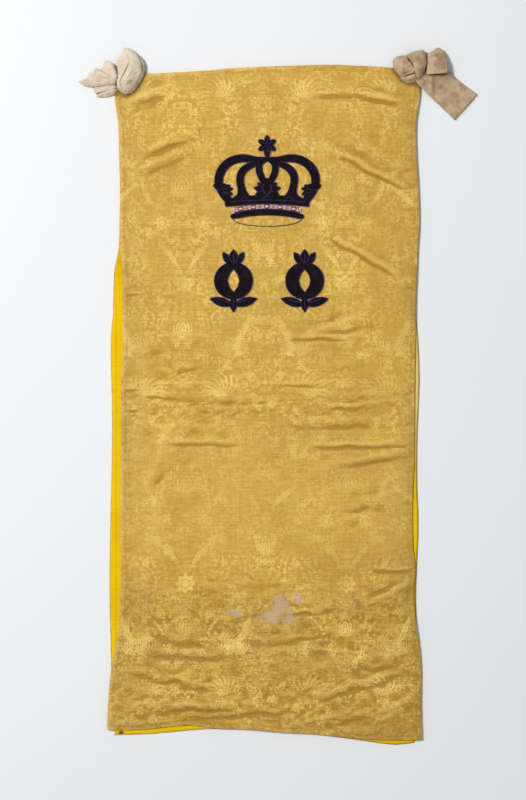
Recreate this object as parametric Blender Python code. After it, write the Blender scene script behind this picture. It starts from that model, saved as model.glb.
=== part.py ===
"""A torah mantle of gold damask, lying flat with its front up.

Two damask panels are sewn together along the top and down to a slit in each side, and each is lined
with yellow cotton. A velvet crown and two velvet pomegranates are sewn on the front, and a knotted
linen tie sits on each top corner.

Metres, +Z up. The origin is in the middle of the back panel, on its underside. +X runs to the
mantle's right as it is seen, and +Y runs to its top seam.
"""

import math

import bmesh
import bpy
from mathutils import Vector

MM = 0.001

# Thicknesses, and the air between two pieces that touch
CLOTH_GAP = 0.3 * MM
DAMASK_THICK = 1.2 * MM
LINING_THICK = 1.0 * MM
VELVET_THICK = 1.2 * MM
LINEN_THICK = 1.8 * MM

# The height of each layer's underside
BACK_LINING_Z = DAMASK_THICK + CLOTH_GAP
FRONT_LINING_Z = BACK_LINING_Z + LINING_THICK + CLOTH_GAP
FRONT_PANEL_Z = FRONT_LINING_Z + LINING_THICK + CLOTH_GAP
STACK_TOP_Z = FRONT_PANEL_Z + DAMASK_THICK

# How far the front cloth stands off its lining away from the edges, and how wide the sewn edge is
LOFT = 2.0 * MM
EDGE_FALL = 26 * MM
LINING_INSET = 1.6 * MM

# Nominal heights of the hem and of the top seam, which the edge tables bend
HEM_Y = -445 * MM
SEAM_Y = 440 * MM
EDGE_FADE = 7

# Grids of the sheets
FRONT_COLUMNS = 26
FRONT_ROWS = 54
FLAT_COLUMNS = 16
FLAT_ROWS = 30

# height, left edge, right edge (mm)
FRONT_SIDES = (
    (452, -201, 204),
    (408, -204.5, 205.5),
    (375, -200, 200.5),
    (336, -199, 200.5),
    (274, -197.5, 204),
    (230, -198.5, 204.5),
    (205, -197, 202.5),
    (170, -194.5, 201.5),
    (140, -194.5, 200),
    (70, -194.5, 199.5),
    (12, -196.5, 198.5),
    (-77, -196.5, 198),
    (-140, -197, 195.5),
    (-200, -196.5, 196.5),
    (-222, -196, 199.5),
    (-250, -196.5, 197.5),
    (-285, -198, 199),
    (-312, -200, 203),
    (-337, -204, 206),
    (-364, -209.5, 207),
    (-400, -213, 206.5),
    (-460, -215.5, 209.5),
)

# height, left edge, right edge (mm)
BACK_SIDES = (
    (452, -201, 204),
    (408, -204.5, 205.5),
    (375, -200, 200.5),
    (336, -199, 200.5),
    (274, -197.5, 204),
    (230, -198.5, 204.5),
    (207, -199, 203.5),
    (186, -204.5, 202.5),
    (160, -206.5, 201.5),
    (112, -207.5, 200.5),
    (82, -210.5, 203.5),
    (24, -209.5, 205.5),
    (-31, -208.5, 203),
    (-107, -209.5, 202),
    (-170, -211, 204),
    (-250, -212, 200.5),
    (-320, -210.5, 201.5),
    (-400, -208, 200),
    (-470, -203, 195),
)

# place along the edge, height of the edge (mm)
TOP_SEAM = (
    (-205, 437.5),
    (-161, 438.5),
    (-82, 442.5),
    (-58, 445),
    (0, 448),
    (85, 450.5),
    (125, 449),
    (168, 446.5),
    (206, 440),
)
FRONT_HEM = (
    (-216, -443),
    (-167, -443),
    (-129, -438.5),
    (-101, -437),
    (-71, -441),
    (-27, -442.5),
    (18, -446.5),
    (65, -449),
    (126, -455.5),
    (178, -457.5),
    (210, -456.5),
)
BACK_HEM = (
    (-206, -451),
    (-150, -449),
    (-106, -444.5),
    (-71, -442.5),
    (-23, -442),
    (44, -446),
    (91, -452.5),
    (135, -459.5),
    (186, -465),
    (198, -461),
)

# start x, start y, end x, end y, half width, height; a height under zero is a trough (mm)
FOLDS = (
    (-188, 392, -100, 424, 15, 4.0),
    (-178, 366, -92, 404, 15, -1.8),
    (-170, 345, -85, 380, 16, 3.2),
    (75, 418, 172, 398, 16, -2.0),
    (88, 396, 180, 376, 15, 3.4),
    (96, 322, 176, 284, 14, 3.6),
    (100, 204, 186, 160, 15, 3.2),
    (62, 82, 140, 116, 16, 3.4),
    (-186, 16, 186, 22, 17, 3.0),
    (-186, -12, 190, -8, 15, -1.8),
    (-122, -18, -152, -92, 17, 4.2),
    (-152, -92, -148, -214, 17, 3.6),
    (118, -60, 184, -58, 15, 3.4),
    (-160, -58, -60, -52, 14, 2.4),
    (124, -226, 190, -232, 14, -2.0),
    (136, -272, 188, -248, 15, 3.8),
    (48, -288, 98, -272, 16, 2.4),
    (-160, -338, -86, -362, 17, -2.0),
    (-196, -410, -24, -412, 17, 4.4),
    (-132, -430, 34, -424, 13, -2.0),
    (40, -418, 110, -390, 16, 3.0),
    (84, -440, 200, -404, 18, 3.8),
    (100, -352, 184, -346, 18, 2.2),
)

# low x, low y, high x, high y, height of the patch (mm): what is sewn or tied on lies flat on these
FLAT_PATCHES = (
    (-92, 104, 92, 366, 2.0),
    (-230, 396, -150, 480, 0.0),
    (150, 416, 230, 480, 0.0),
)
PATCH_BLEND = 24 * MM

# Crown, measured from the middle of its upper band
CROWN_X = 0.2 * MM
CROWN_Y = 262 * MM
STRIP_STEPS = 3
LEAF_STEPS = 4

# x, y, width (mm), for the right half
OUTER_ARCH = (
    (0, 61.5, 4),
    (14, 61, 5.5),
    (25, 62, 8.4),
    (36, 62.2, 9.4),
    (48, 58.8, 10),
    (58, 51, 10.4),
    (63.6, 41, 10.4),
    (65, 30, 10),
    (61, 18, 9.5),
    (53, 7, 9),
    (49, 3, 8),
)
INNER_ARCH = (
    (2, 61, 4),
    (14, 56, 6),
    (25, 51.6, 7.6),
    (32.5, 45.5, 9),
    (36, 38, 9),
    (36.2, 30, 8.8),
    (34.6, 22, 9.2),
    (33.4, 16, 11.5),
    (33, 12, 17),
    (33, 8.5, 27),
)
CENTRE_RIBBON = (
    (1, 61, 4),
    (8.5, 56, 5.6),
    (11, 49, 7.6),
    (9.8, 42, 7.8),
    (6, 34, 7.6),
    (1, 26, 7),
    (-4, 19, 6),
)
CROWN_WEB = ((-50, 4, 7), (-25, 6.8, 8.5), (0, 8.5, 10), (25, 6.8, 8.5), (50, 4, 7))
UPPER_BAND = ((-56, 0.2, 5), (-28, 3.4, 5.4), (0, 4.4, 5.6), (28, 3.4, 5.4), (56, 0.2, 5))
JEWEL_BAND = (
    (-46, -7.4, 6.2),
    (-23, -3.4, 6.2),
    (0, -2.2, 6.2),
    (23, -3.4, 6.2),
    (46, -7.4, 6.2),
)
LOWER_RIM = (
    (-48.5, -16, 3.6),
    (-42, -14.8, 6),
    (-25, -11.4, 6.8),
    (0, -9.8, 7),
    (25, -11.4, 6.8),
    (42, -14.8, 6),
    (48.5, -16, 3.6),
)

# root x, root y, direction (degrees), length, width (mm)
CENTRE_LEAVES = (
    (0, 18, 90, 18, 9),
    (0, 9, 90, 15, 14),
    (-14, 12.5, 0, 28, 9),
    (1, 19, 42, 16, 7),
    (1, 19, 13, 17.5, 7),
    (1, 18, -16, 15.5, 7),
)
SIDE_LEAVES = (
    (59, 22, 18, 14, 8),
    (62, 19, 122, 11, 5.4),
    (62, 19, 148, 14.5, 5.6),
    (62, 19, 170, 16.5, 6),
    (61, 18, 196, 15.5, 6),
    (60, 16.5, 216, 13.5, 5.6),
)
SHARED_LEAVES = 3
STAR_Y = 80 * MM
STAR_REACH = 13.6 * MM
STAR_WAIST = 6.4 * MM
STAR_POINTS = 6
STAR_STEM = (0, 82, 270, 20, 8)

# The stitched oval under the crown
OVAL_X = 46 * MM
OVAL_DROP = 9.8 * MM
OVAL_Y = -19 * MM
OVAL_STEPS = 22
OVAL_CORD = 1.3 * MM

# Pomegranates, each measured from the middle of its fruit
FRUIT_X = (-45 * MM, 50.5 * MM)
FRUIT_Y = 160 * MM
FRUIT_WIDE = 25.5 * MM
FRUIT_TALL = 24.5 * MM
FRUIT_STEPS = 28
SLIT_LENGTH = 33 * MM
SLIT_WIDTH = 17 * MM
# root x, root y, direction (degrees), length, width (mm)
CALYX_TEETH = (
    (0, 20, 90, 22, 11),
    (2, 20, 56, 22, 9),
    (-2, 20, 124, 22, 9),
)
STEM_LEAVES = (
    (0, -33, 16, 33, 11),
    (0, -33, 164, 33, 11),
    (0, -20, 270, 22, 9),
)

# Left tie: the neck where its cloth is gathered, and the root of the fan inside the knot
LEFT_NECK = (-200.8 * MM, 427 * MM)
FAN_ROOT = (-188 * MM, 428 * MM)
FAN_ROOT_REACH = 4 * MM
FAN_ROOT_Z = 9 * MM
FAN_STEPS = 4
# direction (degrees), reach from the neck, height of the free end (mm)
LEFT_FAN = (
    (101, 20, 7),
    (117, 31.5, 9),
    (127, 31, 8),
    (145, 27.5, 2),
    (150, 35.5, 7),
    (155.5, 34, 4),
    (161, 39, 7),
    (168, 38, 2.5),
    (174, 43, 6),
    (180, 52, 5),
    (187, 45, 0),
    (193, 35, 6),
    (207, 35.5, 4),
    (213, 33, 0),
    (232, 26, 6),
    (256, 18.5, 7),
)

# Knots and loops: corner x, corner y (mm), and how steeply the cloth rises from the side that
# starts at this corner, going anticlockwise
LEFT_LOOP = (
    (-201, 428, 1.3),
    (-198, 416, 1.6),
    (-187, 410.5, 1.9),
    (-178, 415, 1.9),
    (-162.5, 438, 2.4),
    (-163, 450, 1.5),
    (-181, 470.5, 1.2),
    (-191, 471.5, 0.9),
    (-201.5, 457, 1.2),
)
RIGHT_KNOT = (
    (168, 452, 1.5),
    (180, 431, 1.8),
    (185, 426, 2.0),
    (193, 424.5, 2.0),
    (199, 427, 2.2),
    (210, 441, 2.2),
    (215.5, 450, 2.6),
    (215.5, 459, 2.0),
    (209, 468.5, 1.5),
    (196, 467.5, 1.2),
    (174, 462, 1.3),
)
RIGHT_LOOP = (
    (210, 452, 2.0),
    (212, 437, 3.2),
    (240.5, 437.5, 1.8),
    (241, 450, 1.2),
    (238.5, 459, 0.9),
    (229.5, 472.5, 1.2),
    (216, 464, 1.4),
)
LEFT_LOOP_HIGH = 30 * MM
RIGHT_KNOT_HIGH = 33 * MM
RIGHT_LOOP_HIGH = 22 * MM
ROOF_SHARPNESS = 7
SIDE_STEPS = 3
KNOT_RINGS = 7

# start x, start y, end x, end y, half width, depth (mm)
LEFT_LOOP_CREASES = (
    (-184, 450, -196, 425.5, 2.6, 7),
    (-166, 442.5, -180.5, 424, 3, 5),
    (-174, 462, -168, 441, 2.4, 5),
    (-196, 421, -184, 412.5, 2.2, 4),
)
RIGHT_KNOT_CREASES = (
    (183, 461, 194.5, 452, 2.4, 6),
    (194.5, 452, 199.5, 441, 2.4, 7),
    (179, 433, 188, 440.5, 2.4, 7),
    (188, 440.5, 199.5, 441, 2.4, 6),
)
RIGHT_LOOP_CREASES = ((213, 461, 240, 448, 3, 3),)

# The flat end of the right tie: lower edge x, y, upper edge x, y, height of its underside (mm)
RIGHT_TAIL = (
    (196, 425, 226, 452, 8),
    (207, 411.5, 240, 441.5, 7.6),
    (222.5, 397, 253, 432.5, 0.8),
    (238, 386, 268, 422, 0),
    (254, 375.5, 283.5, 411, 0),
)
TAIL_STEPS = 4
TAIL_ACROSS = 6

# Colours (linear red, green, blue), then roughness
DAMASK_FINISH = ((0.68, 0.43, 0.11), 0.55)
LINING_FINISH = ((0.85, 0.60, 0.02), 0.8)
VELVET_FINISH = ((0.012, 0.006, 0.022), 0.95)
BRAID_FINISH = ((0.55, 0.32, 0.28), 0.7)
CORD_FINISH = ((0.02, 0.01, 0.02), 0.7)
LINEN_FINISH = ((0.55, 0.45, 0.33), 0.85)


def clear_scene():
    """Removes every object that a new file holds."""
    for old in list(bpy.data.objects):
        bpy.data.objects.remove(old)


def material(name, finish):
    """A plain finish of one colour."""
    colour, roughness = finish
    made = bpy.data.materials.new(name)
    made.use_nodes = True
    shader = made.node_tree.nodes["Principled BSDF"]
    shader.inputs["Base Color"].default_value = (*colour, 1)
    shader.inputs["Roughness"].default_value = roughness
    return made


def read_table(rows, at, column):
    """The value of one column of a table at a place in its first column, on a smooth curve."""
    rows = sorted(rows)
    places = [row[0] for row in rows]
    values = [row[column] for row in rows]
    if at <= places[0]:
        return values[0]
    if at >= places[-1]:
        return values[-1]
    i = max(k for k, place in enumerate(places) if place <= at)
    step = places[i + 1] - places[i]

    def slope(k):
        low = max(k - 1, 0)
        high = min(k + 1, len(places) - 1)
        return (values[high] - values[low]) / (places[high] - places[low])

    t = (at - places[i]) / step
    start, end = values[i], values[i + 1]
    out, back = slope(i) * step, slope(i + 1) * step
    return (
        start * (2 * t**3 - 3 * t**2 + 1)
        + out * (t**3 - 2 * t**2 + t)
        + end * (3 * t**2 - 2 * t**3)
        + back * (t**3 - t**2)
    )


def smooth_step(low, high, at):
    """Rises from 0 at low to 1 at high."""
    t = min(max((at - low) / (high - low), 0), 1)
    return t * t * (3 - 2 * t)


def smooth_path(points, steps):
    """A smooth curve through the points, with the given steps between each two of them."""
    made = []
    for i in range(len(points) - 1):
        before = points[max(i - 1, 0)]
        start, end = points[i], points[i + 1]
        after = points[min(i + 2, len(points) - 1)]
        for k in range(steps):
            t = k / steps
            made.append(
                tuple(
                    0.5
                    * (
                        2 * b
                        + (c - a) * t
                        + (2 * a - 5 * b + 4 * c - d) * t**2
                        + (3 * b - a - 3 * c + d) * t**3
                    )
                    for a, b, c, d in zip(before, start, end, after)
                )
            )
    made.append(tuple(points[-1]))
    return made


def panel_point(sides, hem, u, v, inset=0.0):
    """The place on a panel a share u across and v up, drawn in by inset from its outline."""
    nominal = HEM_Y + (SEAM_Y - HEM_Y) * v
    left = read_table(sides, nominal / MM, 1) * MM
    right = read_table(sides, nominal / MM, 2) * MM
    x = left + inset + (right - left - 2 * inset) * u
    hem_bend = (read_table(hem, x / MM, 1) * MM - HEM_Y + inset) * (1 - v) ** EDGE_FADE
    top_bend = (read_table(TOP_SEAM, x / MM, 1) * MM - SEAM_Y - inset) * v**EDGE_FADE
    return x, nominal + hem_bend + top_bend


def distance_to_run(x, y, start_x, start_y, end_x, end_y):
    """How far a point is from a straight run, and the share of the run that it lies beside."""
    run_x, run_y = end_x - start_x, end_y - start_y
    share = ((x - start_x) * run_x + (y - start_y) * run_y) / (run_x**2 + run_y**2)
    share = min(max(share, 0), 1)
    return math.hypot(x - start_x - run_x * share, y - start_y - run_y * share), share


def fold_height(x, y, edge):
    """How far the front cloth stands off its lining, where edge is the way to its nearest edge."""
    height = LOFT
    for row in FOLDS:
        *run, half_width, high = (value * MM for value in row)
        far, share = distance_to_run(x, y, *run)
        taper = math.sin(math.pi * (0.12 + 0.76 * share))
        height += high * taper * math.exp(-((far / half_width) ** 2))
    height = max(height, 0.2 * MM)
    for row in FLAT_PATCHES:
        low_x, low_y, high_x, high_y, level = (value * MM for value in row)
        off_x = max(low_x - x, x - high_x, 0)
        off_y = max(low_y - y, y - high_y, 0)
        free = smooth_step(0, PATCH_BLEND, math.hypot(off_x, off_y))
        height = level + (height - level) * free
    return height * smooth_step(0, EDGE_FALL, edge)


def new_object(name, mesh, finish):
    """An object in the scene that shows one mesh in one finish."""
    made = bpy.data.objects.new(name, mesh)
    mesh.materials.append(finish)
    bpy.context.scene.collection.objects.link(made)
    return made


def finish_mesh(name, faces):
    """Turns the faces outwards and makes a mesh of them."""
    bmesh.ops.recalc_face_normals(faces, faces=faces.faces)
    mesh = bpy.data.meshes.new(name)
    faces.to_mesh(mesh)
    faces.free()
    return mesh


def sheet_mesh(name, columns, rows, place, thickness):
    """A closed sheet. At a share across and a share up, place gives a point of its underside."""
    faces = bmesh.new()
    low, high = [], []
    for j in range(rows + 1):
        spots = [Vector(place(i / columns, j / rows)) for i in range(columns + 1)]
        low.append([faces.verts.new(spot) for spot in spots])
        high.append([faces.verts.new(spot + Vector((0, 0, thickness))) for spot in spots])
    for layer in (low, high):
        for j in range(rows):
            for i in range(columns):
                a, b = layer[j][i], layer[j][i + 1]
                c, d = layer[j + 1][i + 1], layer[j + 1][i]
                faces.faces.new((a, b, c))
                faces.faces.new((a, c, d))
    rim = [(0, i) for i in range(columns)]
    rim += [(j, columns) for j in range(rows)]
    rim += [(rows, i) for i in range(columns, 0, -1)]
    rim += [(j, 0) for j in range(rows, 0, -1)]
    for (r, k), (next_r, next_k) in zip(rim, rim[1:] + rim[:1]):
        faces.faces.new((low[r][k], low[next_r][next_k], high[next_r][next_k], high[r][k]))
    return finish_mesh(name, faces)


def flat_sheet(name, sides, hem, inset, underside, thickness, finish):
    """A panel or a lining that lies flat."""

    def place(u, v):
        return (*panel_point(sides, hem, u, v, inset), underside)

    return new_object(name, sheet_mesh(name, FLAT_COLUMNS, FLAT_ROWS, place, thickness), finish)


def front_panel(finish):
    """The front damask, which carries the folds."""

    def place(u, v):
        x, y = panel_point(FRONT_SIDES, FRONT_HEM, u, v)
        left = read_table(FRONT_SIDES, y / MM, 1) * MM
        right = read_table(FRONT_SIDES, y / MM, 2) * MM
        hem = read_table(FRONT_HEM, x / MM, 1) * MM
        seam = read_table(TOP_SEAM, x / MM, 1) * MM
        edge = max(min(x - left, right - x, y - hem, seam - y), 0)
        return x, y, FRONT_PANEL_Z + fold_height(x, y, edge)

    mesh = sheet_mesh("front_panel", FRONT_COLUMNS, FRONT_ROWS, place, DAMASK_THICK)
    return new_object("front_panel", mesh, finish)


def prism_mesh(name, outline, low, high):
    """A flat piece of cloth cut to an outline, given anticlockwise."""
    faces = bmesh.new()
    bottom = [faces.verts.new((x, y, low)) for x, y in outline]
    top = [faces.verts.new((x, y, high)) for x, y in outline]
    faces.faces.new(list(reversed(bottom)))
    faces.faces.new(top)
    for i in range(len(outline)):
        k = (i + 1) % len(outline)
        faces.faces.new((bottom[i], bottom[k], top[k], top[i]))
    return finish_mesh(name, faces)


def strip_outline(points, steps=STRIP_STEPS):
    """The outline of a strip that follows points of x, y and width in millimetres."""
    path = smooth_path(points, steps)
    left, right = [], []
    for i, (x, y, width) in enumerate(path):
        before, after = path[max(i - 1, 0)], path[min(i + 1, len(path) - 1)]
        along = Vector((after[0] - before[0], after[1] - before[1])).normalized()
        across = Vector((-along.y, along.x)) * width / 2
        left.append(((x + across.x) * MM, (y + across.y) * MM))
        right.append(((x - across.x) * MM, (y - across.y) * MM))
    return right + left[::-1]


def leaf_outline(root_x, root_y, direction, length, width, steps=LEAF_STEPS):
    """A pointed leaf that grows from its root in millimetres and degrees."""
    turn = math.radians(direction)
    sides = []
    for side in (-1, 1):
        for k in range(steps):
            t = k / steps if side < 0 else 1 - k / steps
            bulge = side * width / 2 * math.sin(math.pi * t) ** 0.85
            x = root_x + length * t * math.cos(turn) - bulge * math.sin(turn)
            y = root_y + length * t * math.sin(turn) + bulge * math.cos(turn)
            sides.append((x * MM, y * MM))
    return sides


def star_outline():
    """A star of six petals."""
    made = []
    for k in range(STAR_POINTS * 4):
        turn = math.pi / 2 + k * math.pi / STAR_POINTS / 2
        share = (1.0, 0.56, 0.0, 0.56)[k % 4]
        reach = STAR_WAIST + (STAR_REACH - STAR_WAIST) * share
        made.append((reach * math.cos(turn), STAR_Y + reach * math.sin(turn)))
    return made


def mirrored(outline):
    """The same outline on the other side of the middle line, still anticlockwise."""
    return [(-x, y) for x, y in reversed(outline)]


def hide_tool(made):
    """Marks an object as a guide for a Boolean, which is no part of the mantle."""
    made.hide_render = True
    made.display_type = "WIRE"


def join_solids(main, others, operation="UNION"):
    """Joins other solids to the main one, or cuts them out of it, with one Boolean each."""
    for number, other in enumerate(others):
        hide_tool(other)
        cut = main.modifiers.new(f"{operation.lower()}_{number}", "BOOLEAN")
        cut.operation = operation
        cut.solver = "EXACT"
        cut.object = other


def velvet_piece(name, outlines, holes, x, y, finish):
    """One piece of velvet whose shape is all of the outlines together, less the holes."""
    low = STACK_TOP_Z + LOFT + CLOTH_GAP
    high = low + VELVET_THICK
    placed = [[(px + x, py + y) for px, py in outline] for outline in outlines]
    main = new_object(name, prism_mesh(name, placed[0], low, high), finish)
    parts = []
    for number, outline in enumerate(placed[1:]):
        part_name = f"{name}_part_{number}"
        parts.append(new_object(part_name, prism_mesh(part_name, outline, low, high), finish))
    join_solids(main, parts)
    cutters = []
    for number, outline in enumerate(holes):
        cutter_name = f"{name}_hole_{number}"
        moved = [(px + x, py + y) for px, py in outline]
        mesh = prism_mesh(cutter_name, moved, low - VELVET_THICK, high + VELVET_THICK)
        cutters.append(new_object(cutter_name, mesh, finish))
    join_solids(main, cutters, "DIFFERENCE")
    return main


def crown(velvet, braid, cord):
    """The crown: velvet arches with their band, a braid of jewels, a velvet rim and a stitched oval."""
    outlines = [strip_outline(UPPER_BAND), strip_outline(CROWN_WEB)]
    for arch in (OUTER_ARCH, INNER_ARCH, CENTRE_RIBBON):
        outline = strip_outline(arch)
        outlines += [outline, mirrored(outline)]
    for number, leaf in enumerate(CENTRE_LEAVES + SIDE_LEAVES):
        outline = leaf_outline(*leaf)
        outlines.append(outline)
        if number >= SHARED_LEAVES:
            outlines.append(mirrored(outline))
    outlines += [star_outline(), leaf_outline(*STAR_STEM)]
    velvet_piece("crown_velvet", outlines, [], CROWN_X, CROWN_Y, velvet)
    velvet_piece("crown_jewel_braid", [strip_outline(JEWEL_BAND)], [], CROWN_X, CROWN_Y, braid)
    velvet_piece("crown_rim", [strip_outline(LOWER_RIM)], [], CROWN_X, CROWN_Y, velvet)
    oval = []
    for k in range(OVAL_STEPS + 1):
        turn = math.pi * k / OVAL_STEPS
        x, y = -OVAL_X * math.cos(turn), OVAL_Y - OVAL_DROP * math.sin(turn)
        oval.append((x / MM, y / MM, OVAL_CORD / MM))
    velvet_piece("crown_oval_cord", [strip_outline(oval, 1)], [], CROWN_X, CROWN_Y, cord)


def pomegranate(name, x, velvet):
    """A pomegranate with an open slit, a toothed calyx, a stem and two leaves."""
    fruit = []
    for k in range(FRUIT_STEPS):
        turn = 2 * math.pi * k / FRUIT_STEPS
        fruit.append((FRUIT_WIDE * math.cos(turn), FRUIT_TALL * math.sin(turn)))
    outlines = [fruit] + [leaf_outline(*leaf) for leaf in CALYX_TEETH + STEM_LEAVES]
    slit = leaf_outline(0, -SLIT_LENGTH / MM / 2, 90, SLIT_LENGTH / MM, SLIT_WIDTH / MM)
    return velvet_piece(name, outlines, [slit], x, FRUIT_Y, velvet)


def roof_height(x, y, corners, high):
    """The height of cloth that rises from each side of an outline and levels off at high."""
    total = (high / MM) ** -ROOF_SHARPNESS
    for (x0, y0, rise), (x1, y1, _) in zip(corners, corners[1:] + corners[:1]):
        side = Vector((x1 - x0, y1 - y0)).normalized()
        inward = side.x * (y / MM - y0) - side.y * (x / MM - x0)
        total += (max(inward, 0.01) * rise) ** -ROOF_SHARPNESS
    return total ** (-1 / ROOF_SHARPNESS) * MM


def crease_depth(x, y, creases):
    """How deep the creases are at a point."""
    depth = 0
    for row in creases:
        *run, half_width, deep = (value * MM for value in row)
        far, share = distance_to_run(x, y, *run)
        taper = math.sin(math.pi * (0.2 + 0.6 * share))
        depth += deep * taper * math.exp(-((far / half_width) ** 2))
    return depth


def knot_mesh(name, corners, high, creases):
    """A bunch of cloth that stands on the table, with the sides and the creases of its tables."""
    faces = bmesh.new()
    outline = []
    for (x0, y0, _), (x1, y1, _) in zip(corners, corners[1:] + corners[:1]):
        for k in range(SIDE_STEPS):
            t = k / SIDE_STEPS
            outline.append(Vector((x0 + (x1 - x0) * t, y0 + (y1 - y0) * t)) * MM)
    middle = sum(outline, Vector((0, 0))) / len(outline)

    def top_point(spot):
        height = roof_height(spot.x, spot.y, corners, high)
        height -= crease_depth(spot.x, spot.y, creases)
        return faces.verts.new((spot.x, spot.y, max(height, LINEN_THICK)))

    rings = []
    for ring in range(1, KNOT_RINGS + 1):
        share = ring / KNOT_RINGS
        rings.append([top_point(middle.lerp(spot, share)) for spot in outline])
    centre = top_point(middle)
    foot = [faces.verts.new((spot.x, spot.y, 0)) for spot in outline]
    for k in range(len(outline)):
        n = (k + 1) % len(outline)
        faces.faces.new((centre, rings[0][k], rings[0][n]))
        for inner, outer in zip(rings, rings[1:]):
            faces.faces.new((inner[k], outer[k], outer[n]))
            faces.faces.new((inner[k], outer[n], inner[n]))
        faces.faces.new((rings[-1][k], foot[k], foot[n], rings[-1][n]))
    faces.faces.new(foot)
    return finish_mesh(name, faces)


def fan_mesh(name):
    """The pleated end of the left tie, which opens from the neck like a fan."""
    spokes = LEFT_FAN[::-1]

    def place(u, v):
        turn, reach, height = spokes[round(u * (len(spokes) - 1))]
        out = Vector((math.cos(math.radians(turn)), math.sin(math.radians(turn))))
        root = Vector(FAN_ROOT) + out * FAN_ROOT_REACH
        spot = root.lerp(Vector(LEFT_NECK) + out * reach * MM, v)
        return spot.x, spot.y, FAN_ROOT_Z * (1 - v) + height * MM * v

    return sheet_mesh(name, len(spokes) - 1, FAN_STEPS, place, LINEN_THICK)


def tail_mesh(name):
    """The flat end of the right tie, which comes off the corner and down to the table."""
    sections = smooth_path(RIGHT_TAIL, TAIL_STEPS)

    def place(u, v):
        low_x, low_y, high_x, high_y, height = sections[round(v * (len(sections) - 1))]
        spot = Vector((high_x, high_y)).lerp(Vector((low_x, low_y)), u) * MM
        return spot.x, spot.y, max(height, 0) * MM

    return sheet_mesh(name, TAIL_ACROSS, len(sections) - 1, place, LINEN_THICK)


def stack_block(name):
    """The room that the four layers of cloth take under a tie, with the gap round them."""
    outline = [(k / FLAT_COLUMNS, 1) for k in range(FLAT_COLUMNS, -1, -1)]
    outline += [(0, k / FLAT_ROWS) for k in range(FLAT_ROWS - 1, FLAT_ROWS - 9, -1)]
    outline += [(1, k / FLAT_ROWS) for k in range(FLAT_ROWS - 8, FLAT_ROWS)]
    places = [panel_point(BACK_SIDES, BACK_HEM, u, v, -2 * CLOTH_GAP) for u, v in outline]
    return prism_mesh(name, places, -DAMASK_THICK, STACK_TOP_Z + CLOTH_GAP)


def knotted_tie(name, pieces, linen):
    """One strip of linen in one solid: its first piece, with the rest joined to it."""
    tie = new_object(name, pieces[0], linen)
    join_solids(tie, [new_object(mesh.name, mesh, linen) for mesh in pieces[1:]])
    block_name = f"{name}_stack"
    join_solids(tie, [new_object(block_name, stack_block(block_name), linen)], "DIFFERENCE")
    return tie


def ties(linen):
    """The two ties: the left one ends in a fan, and the right one in a loop and a flat tail."""
    left = [
        knot_mesh("tie_left", LEFT_LOOP, LEFT_LOOP_HIGH, LEFT_LOOP_CREASES),
        fan_mesh("tie_left_fan"),
    ]
    right = [
        knot_mesh("tie_right", RIGHT_KNOT, RIGHT_KNOT_HIGH, RIGHT_KNOT_CREASES),
        knot_mesh("tie_right_loop", RIGHT_LOOP, RIGHT_LOOP_HIGH, RIGHT_LOOP_CREASES),
        tail_mesh("tie_right_tail"),
    ]
    knotted_tie("tie_left", left, linen)
    knotted_tie("tie_right", right, linen)


def mantle():
    """The whole mantle, from the cloth on the table up."""
    clear_scene()
    damask = material("gold_damask", DAMASK_FINISH)
    lining = material("yellow_lining", LINING_FINISH)
    velvet = material("dark_velvet", VELVET_FINISH)
    braid = material("jewel_braid", BRAID_FINISH)
    cord = material("stitched_cord", CORD_FINISH)
    linen = material("tie_linen", LINEN_FINISH)
    flat_sheet("back_panel", BACK_SIDES, BACK_HEM, 0, 0, DAMASK_THICK, damask)
    flat_sheet("back_lining", BACK_SIDES, BACK_HEM, LINING_INSET, BACK_LINING_Z, LINING_THICK, lining)
    flat_sheet("front_lining", FRONT_SIDES, FRONT_HEM, LINING_INSET, FRONT_LINING_Z, LINING_THICK, lining)
    front_panel(damask)
    crown(velvet, braid, cord)
    for name, x in zip(("pomegranate_left", "pomegranate_right"), FRUIT_X):
        pomegranate(name, x, velvet)
    ties(linen)


mantle()
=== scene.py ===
# %% [markdown]
# # A damask scroll mantle on a pale table
# The mantle is a cloth cover: two damask panels with yellow linings, sewn along the top, open at the
# sides, with a velvet crown on the front and a knotted linen tie on each top corner.
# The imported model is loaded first. It holds the true sizes, and every piece below is fitted to it, so
# that nothing has to be placed by eye.

# %% Load the frame
import math

import bmesh
import bpy
import numpy as np
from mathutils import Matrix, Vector
from mathutils.bvhtree import BVHTree
from mathutils.kdtree import KDTree


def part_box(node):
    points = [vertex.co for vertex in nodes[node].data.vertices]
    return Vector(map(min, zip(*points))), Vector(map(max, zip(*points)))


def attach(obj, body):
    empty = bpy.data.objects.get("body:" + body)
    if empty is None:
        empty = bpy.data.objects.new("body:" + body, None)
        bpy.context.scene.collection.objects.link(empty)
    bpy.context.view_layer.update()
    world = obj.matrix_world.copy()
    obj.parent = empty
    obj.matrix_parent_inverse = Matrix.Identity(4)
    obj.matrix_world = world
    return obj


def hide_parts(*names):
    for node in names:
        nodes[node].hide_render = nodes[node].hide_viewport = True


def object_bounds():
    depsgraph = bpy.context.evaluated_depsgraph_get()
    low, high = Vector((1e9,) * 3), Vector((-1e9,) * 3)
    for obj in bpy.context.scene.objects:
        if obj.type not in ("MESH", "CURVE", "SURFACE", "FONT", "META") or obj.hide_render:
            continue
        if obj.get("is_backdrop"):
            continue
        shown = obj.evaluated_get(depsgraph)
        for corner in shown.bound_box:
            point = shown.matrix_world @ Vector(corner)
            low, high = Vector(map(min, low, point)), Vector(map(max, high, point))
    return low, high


MM = 0.001
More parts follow.
